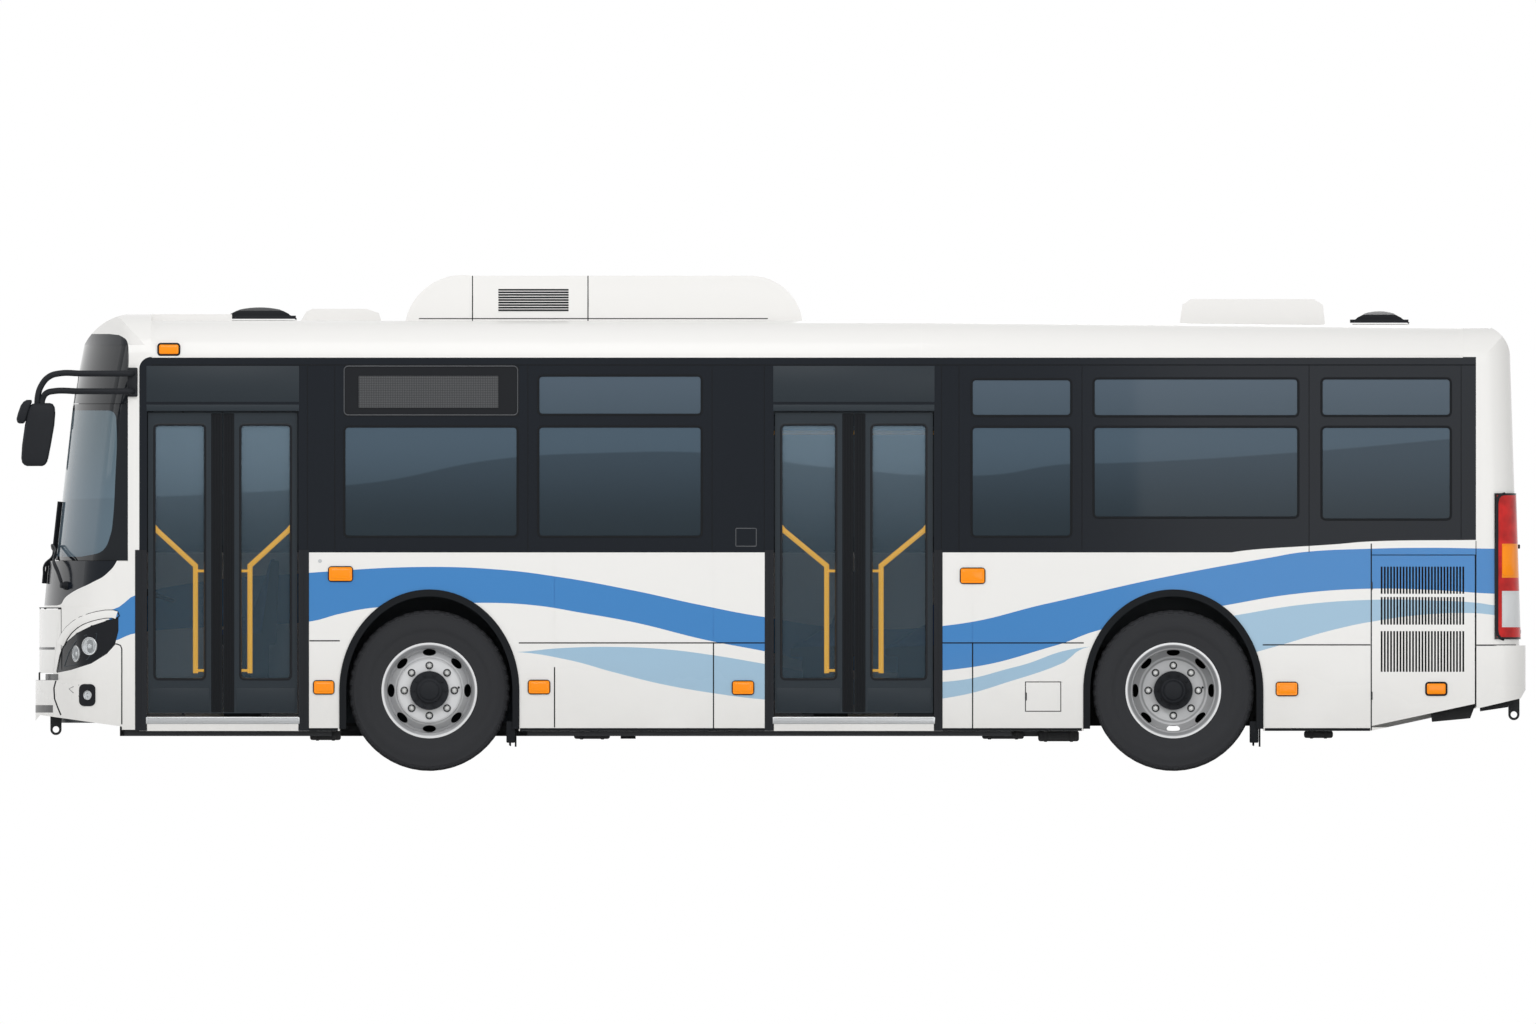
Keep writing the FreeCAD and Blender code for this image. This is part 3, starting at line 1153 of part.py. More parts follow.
steering.Placement = TILT
column = without("Column", rod("ColumnTube", "z", 40.0, 0.0, 0.0, -440.0, 260.0),
                 rod("ShaftBore", "z", 16.4, 0.0, 0.0, -225.0, 60.0))
column.Placement = TILT
grouped("driver_cab", fused("Cockpit", dash, console, column), partition)


def cone(name, wide, narrow, x, y, z, length):
    """A cone along +y from its first radius to its second."""
    made = doc.addObject("Part::Cone", name)
    made.Placement.Rotation = ALONG["y"]
    for prop, value in (("Radius1", wide), ("Radius2", narrow), ("Height", length)):
        bind(made, prop, value)
    for letter, value in (("x", x), ("y", y), ("z", z)):
        bind(made, "Placement.Base." + letter, value)
    return made


REAR_Y = size("rear_outer")
SPINDLE_END = REAR_Y - 178
fused(
    "rear_axle",
    rod("AxleTube", "y", 75.0, REAR, -640.0, HUB, 1280.0),
    rod("AxleSpindle", "y", REAR_SPINDLE, REAR, -SPINDLE_END, HUB, SPINDLE_END * 2),
    cone("NearHousing", 90.0, 190.0, REAR, -150.0, HUB, 130.0),
    cone("FarHousing", 190.0, 90.0, REAR, -20.0, HUB, 130.0),
    rod("Pinion", "x", 70.0, REAR + 150, 0.0, HUB, 180.0),
    rod("Propshaft", "x", 45.0, REAR + 320, 0.0, HUB, GEARBOX[0] - REAR - 320),
)

# air springs: two bellows on each beam; the outline holds height share, radius
BELLOWS = ((0.0, 0.0), (0.0, 78.0), (0.08, 78.0), (0.16, 95.0), (0.38, 95.0), (0.5, 82.0),
           (0.62, 95.0), (0.84, 95.0), (0.92, 78.0), (1.0, 78.0), (1.0, 0.0))
SPRING_Y, SPRING_X, SPRING_HALF = 450.0, 300.0, 45.0
seat_low, seat_high = HUB + 75, HUB + 105


def revolved(name, points):
    """A body turned about the x axis of its sketch: axial place, radius."""
    body = doc.addObject("PartDesign::Body", name)
    sketch = on_plane(body, name + "Outline", "XY_Plane")
    polygon(sketch, points)
    turn = body.newObject("PartDesign::Revolution", name + "Turn")
    turn.Profile = sketch
    turn.ReferenceAxis = (sketch, ["H_Axis"])
    turn.Angle = 360
    return body


bellow = revolved("Bellow", [((HIGH0 - seat_high) * share, radius) for share, radius in BELLOWS])
bellow.Placement.Rotation = Rotation(Vector(0, 1, 0), -90)
bind(bellow, "Placement.Base.x", REAR - SPRING_X)
bind(bellow, "Placement.Base.y", -SPRING_Y)
bind(bellow, "Placement.Base.z", seat_high)
beam_reach = SPRING_X + 100
seat_beam = block("SpringBeam", REAR - beam_reach, REAR + beam_reach, -SPRING_Y - SPRING_HALF,
                  -SPRING_Y + SPRING_HALF, seat_low, seat_high)
springs = fused("SpringSet", seat_beam, bellow, flipped("RearBellow", bellow, REAR))
grouped("air_springs", *pair("SpringPair", springs))

# ---------------------------------------------------------------- wheels
# half of the tyre's outline: share of the width from the middle, radius; the tread scales with the tyre
BEAD = 290.0
TREAD_OUTLINE = ((0.0, 1.0), (0.40, 0.9963), (0.47, 0.972), (0.5, 0.8785), (0.5, 0.8037))
BEAD_OUTLINE = ((0.47, 370.0), (0.435, 319.0), (0.376, 319.0), (0.348, BEAD), (0.0, BEAD))


def tyre_outline():
    width = size("tyre_width")
    half = [(width * share, HUB * part) for share, part in TREAD_OUTLINE]
    half += [(width * share, radius) for share, radius in BEAD_OUTLINE]
    return half + [(0 - x, radius) for x, radius in reversed(half[1:-1])]


# the rim's edge, common to all wheels: axial place, radius
RIM_EDGE = ((-125.0, 318.0), (-112.0, 318.0), (-104.0, BEAD - 1), (104.0, BEAD - 1), (112.0, 318.0),
            (125.0, 318.0), (125.0, 306.0))
# the front disc bulges outwards
FRONT_DISH = ((114.0, 281.0), (-36.0, 276.0), (-56.0, 252.0), (-105.0, 212.0), (-138.0, 204.0),
              (-138.0, 100.0), (-150.0, 100.0), (-150.0, 214.0), (-118.0, 224.0), (-68.0, 264.0),
              (-84.0, 279.0), (-116.0, 283.0), (-125.0, 306.0))
# the outer rear disc is dished inwards; the inner wheel is its mirror image
REAR_DISH = ((108.0, 282.0), (150.0, 240.0), (166.0, 212.0), (166.0, 100.0), (152.0, 100.0), (152.0, 204.0),
             (138.0, 228.0), (90.0, 268.0), (-100.0, 274.0), (-125.0, 306.0))
HOLES, HOLE_AT, HOLE_LONG, HOLE_SHORT = 8, 254.0, 44.0, 23.0


def hand_holes(body, name, low, high):
    """Eight oval hand holes round the disc, cut between two places along the axle."""
    doc.recompute()
    whole = body.Shape.Volume
    axle = [item for item in body.Origin.OriginFeatures if item.Role == "X_Axis"][0]
    sketch = on_plane(body, name + "Oval", "YZ_Plane")
    sketch.AttachmentOffset = FreeCAD.Placement(Vector(0, 0, low), Rotation())
    sketch.addGeometry(Part.Ellipse(Vector(HOLE_LONG, HOLE_AT, 0), Vector(0, HOLE_AT + HOLE_SHORT, 0),
                                    Vector(0, HOLE_AT, 0)))
    hole = body.newObject("PartDesign::Pocket", name + "Hole")
    hole.Profile = sketch
    hole.Length = high - low
    hole.Reversed = True
    ring = body.newObject("PartDesign::PolarPattern", name + "Holes")
    ring.Originals = [hole]
    ring.Axis = (axle, [""])
    ring.Angle = 360
    ring.Occurrences = HOLES
    body.Tip = ring
    doc.recompute()
    if body.Shape.Volume > whole * 0.995:
        raise RuntimeError("the hand holes of %s cut nothing" % body.Label)


def axial(name, radius, low, high):
    return rod(name, "x", radius, low, 0.0, 0.0, high - low)


def on_axle(name, source, x, y, side):
    """A copy of a wheel piece on its axle; its -x face points outwards."""
    made = doc.addObject("Part::Compound", name)
    made.Links = [source]
    made.Placement.Rotation = Rotation(Vector(0, 0, 1), -90 if side > 0 else 90)
    for letter, value in (("x", x), ("y", y), ("z", HUB)):
        bind(made, "Placement.Base." + letter, value)
    return made


tyre = revolved("TyreMaster", tyre_outline())
front_disc = revolved("FrontDisc", RIM_EDGE + FRONT_DISH)
hand_holes(front_disc, "Front", -130, -20)
rear_disc = revolved("RearDisc", RIM_EDGE + REAR_DISH)
hand_holes(rear_disc, "Rear", 60, 200)
front_hub = fused("FrontHub", axial("HubDrum", 129.0, -200.0, -150.0), axial("HubCap", 82.0, -206.0, -150.0),
                  axial("HubBarrel", 100.0, -150.0, 40.0))
front_hub = without("BoredHub", front_hub, axial("HubBore", SPINDLE + FIT, -100.0, 60.0))
front_wheel = fused("FrontWheel", front_disc, front_hub)
rear_hub = fused("RearHub", axial("RearDrum", 129.0, 60.0, 152.0), axial("RearCap", 82.0, 20.0, 60.0),
                 axial("RearBarrel", 100.0, 152.0, 330.0))
rear_hub = without("BoredRearHub", rear_hub, axial("RearBore", REAR_SPINDLE + FIT, 170.0, 340.0))

OUTER_Y, INNER_Y, FRONT_Y = size("rear_outer"), size("rear_inner"), size("front_wheel")
for side, sign in (("left", -1), ("right", 1)):
    on_axle("front_%s_tyre" % side, tyre, FRONT, FRONT_Y * sign, sign)
    on_axle("front_%s_rim" % side, front_wheel, FRONT, FRONT_Y * sign, sign)
    grouped("rear_%s_tyres" % side, on_axle("OuterTyre", tyre, REAR, OUTER_Y * sign, sign),
            on_axle("InnerTyre", tyre, REAR, INNER_Y * sign, sign))
    fused("rear_%s_rims" % side, on_axle("OuterDisc", rear_disc, REAR, OUTER_Y * sign, sign),
          on_axle("InnerDisc", rear_disc, REAR, INNER_Y * sign, -sign),
          on_axle("Hub", rear_hub, REAR, OUTER_Y * sign, sign))

# ---------------------------------------------------------------- mirrors, wipers, tow eyes
TUBE = 22.0
MIRROR_Y = -HALF - 60
upper = tube([Vector(-4246, -HALF - 5, 2644), Vector(-4246, MIRROR_Y, 2644), Vector(-4640, MIRROR_Y, 2644),
              Vector(-4850, MIRROR_Y + 20, 2600), Vector(-4878, MIRROR_Y + 20, 2440)], TUBE)
lower = tube([Vector(-4246, -HALF - 5, 2525), Vector(-4246, MIRROR_Y, 2525), Vector(-4600, MIRROR_Y, 2525),
              Vector(-4800, MIRROR_Y + 15, 2500), Vector(-4860, MIRROR_Y + 15, 2440)], TUBE)
mirror = fused(
    "MirrorSet",
    block("MirrorBracket", -4275.0, -4218.0, -HALF - 12, -HALF, 2480.0, 2690.0),
    ready("MirrorTubes", joined([upper, lower])),
    rounded("MainHead", 40, "y", -4985.0, -4765.0, -HALF - 75, -HALF + 25, 2028.0, 2460.0),
    rounded("WideHead", 30, "y", -5020.0, -4930.0, -HALF - 60, -HALF + 10, 2303.0, 2487.0),
)
grouped("mirrors", *pair("Mirror", mirror))

# the left wiper, parked: pivot at the cowl's corner, arm, and upright blade
pivot = bar(Vector(-4684.2, -830, 1225), Vector(-4722, -838, 1225), 22)
pivot = pivot.cut(nose(COWL_X, FASCIA_HIGH, COWL_HIGH, COWL_LEAN, -SEAM * 2))
arm = tube([Vector(-4722, -838, 1225), Vector(-4790, -560, 1215), Vector(-4850, -170, 1235),
            Vector(-4856, -150, 1300), Vector(-4812, -150, 1510)], 8)
blade = tube([Vector(-4843, -150, 1240), Vector(-4815, -150, 1470), Vector(-4764, -150, 1790)], 7)
grouped("wipers", *pair("Wiper", ready("LeftWiper", joined([pivot, arm, blade]))))

# tow plates beside the frame rails, each with a bore across the bus: x0, x1, z, bore x
EYES = ((-4800.0, -4700.0, 276.0, -4755.0), (4880.0, 4985.0, 375.0, 4940.0))
EYE_BORE = 21.0
PLATE_OUT, PLATE_IN = 462.0, 438.0
eyes = []
for x0, x1, z, bore_x in EYES:
    blank = block("TowPlate", x0, x1, -PLATE_OUT, -PLATE_IN, z - 40, z + 40)
    eyes += pair("Tow", without("TowEye", blank, rod("TowBore", "y", EYE_BORE, bore_x, -480.0, z, 60.0)))
grouped("tow_eyes", *eyes)

# ---------------------------------------------------------------- checks and files
doc.recompute()
NODES = (
    "chassis_frame", "floor", "left_panels", "right_panels", "left_window_band", "right_window_band",
    "roof", "front_cap", "rear_cap", "bumpers", "windscreen", "windows", "displays", "headlamps",
    "tail_lamps", "marker_lamps", "air_conditioner", "roof_pods", "wheel_arch_trims", "mirrors", "wipers",
    "door_headers", "hinges", "seats", "driver_cab", "grab_rails", "tanks", "engine", "front_axle",
    "rear_axle", "air_springs", "tow_eyes", "front_lid", "engine_door", "engine_side_door", "fuel_flap",
    "front_roof_hatch", "rear_roof_hatch", "left_knuckle", "right_knuckle", "tie_rod", "steering_wheel",
    "front_left_tyre", "front_left_rim", "front_right_tyre", "front_right_rim",
    "rear_left_tyres", "rear_left_rims", "rear_right_tyres", "rear_right_rims",
    "front_door_front_leaf", "front_door_front_post", "front_door_rear_leaf", "front_door_rear_post",
    "middle_door_front_leaf", "middle_door_front_post", "middle_door_rear_leaf", "middle_door_rear_post",
)
os.makedirs("parts", exist_ok=True)
for item in doc.Objects:
    if "Invalid" in item.State or "Error" in item.State:
        raise RuntimeError("%s did not recompute" % item.Label)
for label in NODES:
    item = doc.getObjectsByLabel(label)[0]
    if item.Shape.isNull() or not item.Shape.isValid() or not item.Shape.Solids:
        raise RuntimeError("%s has no sound solid" % label)
    item.Shape.exportStep("parts/%s.step" % label)
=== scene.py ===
# %% [markdown]
# # A city bus
#
# The bus body, its wheels and its doors arrive as exact solids. This lesson gives them
# paint, glass, rubber and metal, and adds the small pieces that a body shop fits last:
# seams, seals, tread, wheel nuts, lamps and louvres. Everything is in metres, the front
# of the bus looks towards -X, and its door side towards -Y.

# %% The frame and the tools
import functools
import json
import math
import operator

import bmesh
import bpy
from mathutils import Matrix, Vector
from mathutils.bvhtree import BVHTree

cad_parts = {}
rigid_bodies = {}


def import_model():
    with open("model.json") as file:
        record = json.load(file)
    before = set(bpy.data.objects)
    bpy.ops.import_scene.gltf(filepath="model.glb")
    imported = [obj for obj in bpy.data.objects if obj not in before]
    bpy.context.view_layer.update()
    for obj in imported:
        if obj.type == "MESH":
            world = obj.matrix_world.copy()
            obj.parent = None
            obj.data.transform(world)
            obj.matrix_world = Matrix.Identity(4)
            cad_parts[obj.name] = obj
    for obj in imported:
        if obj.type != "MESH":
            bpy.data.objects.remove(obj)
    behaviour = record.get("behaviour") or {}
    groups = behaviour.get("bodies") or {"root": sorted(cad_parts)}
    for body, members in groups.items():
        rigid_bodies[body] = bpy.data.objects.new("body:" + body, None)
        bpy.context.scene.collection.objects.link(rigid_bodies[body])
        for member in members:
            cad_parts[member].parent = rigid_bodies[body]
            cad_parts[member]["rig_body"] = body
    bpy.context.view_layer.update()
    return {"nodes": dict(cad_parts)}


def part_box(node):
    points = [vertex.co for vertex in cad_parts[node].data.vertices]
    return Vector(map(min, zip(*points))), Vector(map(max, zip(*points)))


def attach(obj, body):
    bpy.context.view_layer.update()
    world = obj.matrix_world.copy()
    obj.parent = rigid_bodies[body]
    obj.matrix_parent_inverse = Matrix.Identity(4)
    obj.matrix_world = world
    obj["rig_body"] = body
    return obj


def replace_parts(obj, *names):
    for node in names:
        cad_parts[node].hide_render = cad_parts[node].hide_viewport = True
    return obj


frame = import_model()
nodes = frame["nodes"]

# %% [markdown]
# ## Camera
#
# The bus is looked at squarely from its door side, from so far away that nothing
# converges. An orthographic camera does that, and its scale is the width that it takes in.

# %% Camera
VIEW_WIDTH = 10.214
VIEW_CENTRE = Vector((-0.02, 0, 1.722))
camera_data = bpy.data.cameras.new("side_camera")
camera_data.type = "ORTHO"
camera_data.ortho_scale = VIEW_WIDTH
camera = bpy.data.objects.new("side_camera", camera_data)
camera.location = VIEW_CENTRE - Vector((0, 20, 0))
camera.rotation_euler = (math.radians(90), 0, 0)
bpy.context.scene.collection.objects.link(camera)
bpy.context.scene.camera = camera

# %% [markdown]
# ## Values inside a shader
#
# Colours are written as they look on a screen, from 0 to 255, and turned into the linear
# values that a shader wants. Patterns are worked out from places on the bus: a `Wire` is
# such a value, and adding, dividing or comparing it adds the node that does so.

# %% Helpers for shaders
MM = 0.001


def shade(red, green, blue):
    """A screen colour as linear values with alpha."""
    parts = [value / 255 for value in (red, green, blue)]
    return [part / 12.92 if part < 0.04045 else ((part + 0.055) / 1.055) ** 2.4 for part in parts] + [1.0]


def feed(socket, value):
    """Sets a socket to a value, or links it to a wire or another socket."""
    value = getattr(value, "socket", value)
    if isinstance(value, bpy.types.NodeSocket):
        socket.id_data.links.new(value, socket)
    else:
        socket.default_value = value


def node(tree, kind, inputs=(), **settings):
    """A node with its settings, and its inputs fed by name or number."""
    made = tree.nodes.new("ShaderNode" + kind)
    for setting, value in settings.items():
        setattr(made, setting, value)
    for socket, value in dict(inputs).items():
        feed(made.inputs[socket], value)
    return made


def sums(tree, operation, *terms, clamp=False):
    """A Math node of one or two terms."""
    return Wire(node(tree, "Math", enumerate(terms), operation=operation, use_clamp=clamp).outputs[0])


class Wire:
    """A value in a shader; signs between two of them make Math nodes."""

    def __init__(self, socket):
        self.socket, self.tree = socket, socket.id_data

    def __rsub__(self, other):
        return sums(self.tree, "SUBTRACT", other, self)

    def __abs__(self):
        return sums(self.tree, "ABSOLUTE", self)

    def repeated(self, pitch):
        """How far along its own step of a row a place is, from 0 to 1."""
        return sums(self.tree, "FRACT", self / pitch)

    def within(self, low, high):
        """One between two limits, else zero."""
        return (self > low) * (self < high)

    def between(self, low, high):
        """Zero becomes `low` and one becomes `high`."""
        return Wire(node(self.tree, "MapRange", {"Value": self, "To Min": low, "To Max": high}).outputs[0])

    def curve(self, points, along, across):
        """A Float Curve through points, scaled from real lengths and back."""
        share = node(self.tree, "MapRange", {"Value": self, "From Min": along[0], "From Max": along[1]})
        made = node(self.tree, "FloatCurve", {"Value": share.outputs[0]})
        line = made.mapping.curves[0]
        spots = [((a - along[0]) / (along[1] - along[0]), (b - across[0]) / (across[1] - across[0]))
                 for a, b in points]
        line.points[0].location, line.points[-1].location = spots[0], spots[-1]
        for spot in spots[1:-1]:
            line.points.new(*spot)
        made.mapping.update()
        back = {"Value": made.outputs[0], "To Min": across[0], "To Max": across[1]}
        return Wire(node(self.tree, "MapRange", back, clamp=False).outputs[0])


for sign, operation in (("add", "ADD"), ("sub", "SUBTRACT"), ("mul", "MULTIPLY"), ("truediv", "DIVIDE"),
                        ("lt", "LESS_THAN"), ("gt", "GREATER_THAN"), ("or", "MAXIMUM")):
    setattr(Wire, "__%s__" % sign, lambda one, other, name=operation: sums(one.tree, name, one, other))


def any_of(masks):
    """One where any of the masks is one."""
    return functools.reduce(operator.or_, masks)


def away(one, other):
    """The distance of a point whose two sides are wires."""
    return sums(one.tree, "SQRT", one * one + other * other)


def mixed(mask, first, second):
    """One colour over another by a mask; each is a colour or a socket."""
    return node(mask.tree, "Mix", {"Factor": mask, 6: first, 7: second}, data_type="RGBA").outputs[2]


def spot_of(tree):
    """The place of a point on the bus."""
    return node(tree, "TexCoord").outputs["Object"]


def placed(tree):
    """The x, y and z of a point on the bus, in metres."""
    return [Wire(output) for output in node(tree, "SeparateXYZ", {0: spot_of(tree)}).outputs]


def new_group(name, inputs, *outputs):
    """A node group with named inputs at their usual values, and the sockets inside it."""
    group = bpy.data.node_groups.new(name, "ShaderNodeTree")

    def add(socket, way, colour):
        kind = "NodeSocketColor" if colour else "NodeSocketFloat"
        return group.interface.new_socket(socket, in_out=way, socket_type=kind)

    for socket, value in inputs.items():
        add(socket, "INPUT", not isinstance(value, float)).default_value = value
    for socket in outputs:
        add(socket, "OUTPUT", socket == "Colour")
    return group, group.nodes.new("NodeGroupInput").outputs, group.nodes.new("NodeGroupOutput").inputs


def inputs_of(material):
    """The sockets of a material's shader."""
    return material.node_tree.nodes["Principled BSDF"].inputs


def finish(name, colour, roughness=0.5, **sockets):
    """A Principled material; further sockets are given by name."""
    material = bpy.data.materials.new(name)
    material.use_nodes = True
    for socket, value in {"Base Color": colour, "Roughness": roughness, **sockets}.items():
        inputs_of(material)[socket.replace("_", " ")].default_value = value
    return material


def use(material, group, *sockets, **values):
    """Puts a group in a material, its outputs on the shader's sockets in turn."""
    made = node(material.node_tree, "Group", values, node_tree=group)
    for output, socket in zip(made.outputs, sockets):
        if socket == "Normal":
            bump = {"Strength": 1.0, "Distance": MM, "Height": output}
            output = node(material.node_tree, "Bump", bump).outputs[0]
        feed(inputs_of(material)[socket], output)
    return made.outputs[0]


# %% [markdown]
# ## Studio
#
# White paint needs soft light from all round, or it turns grey on one side and burns out
# on the other. The world gives most of the light, and four broad lamps give the panels a
# direction. What the camera, a mirror or a window sees of the world is plain white.

# %% Studio
SKY_LIGHT = 0.6
scene = bpy.context.scene
scene.view_settings.view_transform = "Standard"
scene.world = bpy.data.worlds.new("studio")
scene.world.use_nodes = True
sky = scene.world.node_tree
ray = node(sky, "LightPath").outputs
seen = Wire(ray["Is Camera Ray"]) | ray["Is Glossy Ray"] | ray["Is Transmission Ray"]
background = sky.nodes["Background"].inputs
background["Color"].default_value = (1, 1, 1, 1)
feed(background["Strength"], seen.between(SKY_LIGHT, 1.0))

# name, place, watts, size
LAMPS = (
    ("lamp_door_side", (-3, -12, 9), 620, 8),
    ("lamp_far_side", (4, 12, 9), 520, 8),
    ("lamp_nose", (-14, -1, 6), 210, 6),
    ("lamp_door_side_rear", (6, -12, 2.5), 290, 8),
)
for name, place, watts, width in LAMPS:
    lamp = bpy.data.lights.new(name, "AREA")
    lamp.energy = watts
    lamp.size = width
    holder = bpy.data.objects.new(name, lamp)
    holder.location = place
    holder.rotation_euler = (VIEW_CENTRE - Vector(place)).to_track_quat("-Z", "Y").to_euler()
    scene.collection.objects.link(holder)

# %% [markdown]
# ## Making pieces
#
# Each helper adds a shape to an open mesh, and `piece` closes the mesh, names it and lets
# it ride on a body of the frame.

# %% Helpers for shapes
def slab(mesh, x0, x1, y0, y1, z0, z1, soft=0.0, segments=1):
    """A box between two corners, with its edges rounded by `soft`."""
    verts = bmesh.ops.create_cube(mesh, size=1)["verts"]
    bmesh.ops.scale(mesh, vec=(x1 - x0, abs(y1 - y0), z1 - z0), verts=verts)
    bmesh.ops.translate(mesh, vec=Vector((x0 + x1, y0 + y1, z0 + z1)) / 2, verts=verts)
    if soft:
        edges = {edge for vert in verts for edge in vert.link_edges}
        bmesh.ops.bevel(mesh, geom=list(edges), offset=soft, segments=segments, profile=0.5,
                        affect="EDGES", material=-1)


def lathe(mesh, profile, centre, steps=48):
    """Turns (axial, radius) points about the y axis through `centre`."""
    verts = [mesh.verts.new((centre[0] + radius, centre[1] + axial, centre[2])) for axial, radius in profile]
    edges = [mesh.edges.new(pair) for pair in zip(verts, verts[1:])]
    bmesh.ops.spin(mesh, geom=verts + edges, cent=centre, axis=(0, 1, 0), angle=math.tau,
                   steps=steps, use_merge=True)


def knob(mesh, centre, axis, radius, depth, sides=16, top=1.0):
    """A short round or six-sided stub along an axis, its far end `top` times as wide."""
    turn = Vector((0, 0, 1)).rotation_difference(Vector(axis)).to_matrix().to_4x4()
    place = Matrix.Translation(Vector(centre) + Vector(axis).normalized() * depth / 2) @ turn
    bmesh.ops.create_cone(mesh, cap_ends=True, segments=sides, radius1=radius, radius2=radius * top,
                          depth=depth, matrix=place)


def piece(name, mesh, body, slot, *finishes, smooth=30):
    """Closes a mesh and makes it a piece that rides on a body."""
    bmesh.ops.recalc_face_normals(mesh, faces=mesh.faces)
    data = bpy.data.meshes.new(name)
    mesh.to_mesh(data)
    mesh.free()
    for finish in finishes:
        data.materials.append(finish)
    made = bpy.data.objects.new(name, data)
    scene.collection.objects.link(made)
    if smooth:
        data.shade_smooth()
        data.set_sharp_from_angle(angle=math.radians(smooth))
    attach(made, body)
    return made


# %% [markdown]
# ## Shared effects
#
# Nothing on a bus is one flat colour. Road film gathers low on the panels, sprayed paint
# has a faint ripple, and moulded plastic has a grain. Each effect is a group whose inputs
# say how strong it is, and how large, so that every finish can have its own measure.

# %% Road film, ripple and grain
DUST = shade(150, 146, 139)
film, given, made = new_group(
    "road_film", {"Colour": (0.8, 0.8, 0.8, 1), "Roughness": 0.3, "Amount": 0.2, "Reach": 0.9},
    "Colour", "Roughness")
cloud = node(film, "TexNoise", {"Scale": 2.3, "Detail": 5, "Vector": spot_of(film)}, noise_dimensions="3D")
low = sums(film, "SUBTRACT", 1.0, placed(film)[2] / given["Reach"], clamp=True)
mask = sums(film, "MULTIPLY", low * cloud.outputs["Fac"], given["Amount"], clamp=True)
feed(made["Colour"], mixed(mask, given["Colour"], DUST))
feed(made["Roughness"], mask + given["Roughness"])


def texture_group(name, kind, output, **inputs):
    """A group that gives a height in millimetres from one texture."""
    group, given, made = new_group(name, {"Scale": 100.0, "Depth": 0.1}, "Height")
    texture = node(group, kind, {"Vector": spot_of(group), "Scale": given["Scale"], **inputs})
    feed(made["Height"], Wire(texture.outputs[output]) * given["Depth"])
    return group


ripple = texture_group("spray_ripple", "TexNoise", "Fac", Detail=2.0)
grain = texture_group("moulded_grain", "TexVoronoi", "Distance")

# %% [markdown]
# ## The livery
#
# Three ribbons of blue run from the headlamp to the tail lamp. Their edges are long, even
# curves, so each is a Float Curve: it turns a place along the bus into a height. A point is
# on a ribbon when it is under the upper curve and over the lower one. The same group also
# paints the other side, where one door's width of ribbon is seen that the doors hide here.

# %% Curves for the ribbons
WHITE = shade(236, 235, 233)
BLUE = shade(62, 129, 192)
PALE_BLUE = shade(158, 190, 213)
ALONG = (-5.0, 5.0)
HIGH = (0.0, 2.0)


# each ribbon: its colour, its ends along the bus, its upper and its lower edge as (x, z)
RIBBONS = (
    (PALE_BLUE, -1.689, 2.128,
     ((-1.689, 0.791), (-1.41, 0.816), (-1.037, 0.825), (-0.705, 0.809), (-0.382, 0.769), (-0.053, 0.714),
      (0.6, 0.605), (1.137, 0.592), (1.629, 0.693), (2.128, 0.827)),
     ((-1.689, 0.791), (-1.37, 0.743), (-1.037, 0.654), (-0.705, 0.573), (-0.376, 0.516), (-0.053, 0.476),
      (0.6, 0.44), (1.137, 0.481), (1.629, 0.608), (1.945, 0.72), (2.128, 0.827))),
    (PALE_BLUE, 3.0, 4.83,
     ((3.0, 1.02), (3.112, 1.039), (3.544, 1.107), (3.99, 1.138), (4.389, 1.134), (4.688, 1.119), (4.83, 1.1)),
     ((3.0, 0.73), (3.219, 0.789), (3.392, 0.838), (3.757, 0.943), (3.99, 0.992), (4.389, 1.043),
      (4.688, 1.049), (4.83, 1.036))),
    (BLUE, -4.4, 4.83,
     ((-4.4, 1.07), (-4.229, 1.168), (-3.7, 1.27), (-3.086, 1.317), (-2.294, 1.357), (-1.809, 1.339),
      (-1.41, 1.29), (-0.924, 1.202), (-0.485, 1.107), (-0.053, 1.025), (0.6, 0.945), (1.137, 0.964),
      (1.835, 1.113), (2.58, 1.282), (3.325, 1.42), (3.544, 1.456), (3.99, 1.478), (4.389, 1.484),
      (4.83, 1.478)),
     ((-4.4, 0.86), (-4.229, 0.915), (-3.6, 0.965), (-3.086, 0.991), (-2.866, 1.045), (-2.647, 1.085),
      (-1.895, 1.118), (-1.589, 1.103), (-1.257, 1.051), (-0.924, 0.991), (-0.419, 0.868), (-0.053, 0.798),
      (0.6, 0.665), (1.137, 0.667), (1.882, 0.831), (2.188, 0.938), (3.026, 1.102), (3.544, 1.184),
      (3.99, 1.212), (4.389, 1.204), (4.83, 1.178))),
)

livery, given, made = new_group("livery", {"Ground": WHITE}, "Colour")
x, _, z = placed(livery)
colour = given["Ground"]
for tone, first, last, *edges in RIBBONS:
    upper, lower = [x.curve(((ALONG[0], edge[0][1]), *edge, (ALONG[1], edge[-1][1])), ALONG, HIGH)
                    for edge in edges]
    colour = mixed((z < upper) * (z > lower) * x.within(first, last), colour, tone)
feed(made["Colour"], colour)
print("ribbons", len(RIBBONS))
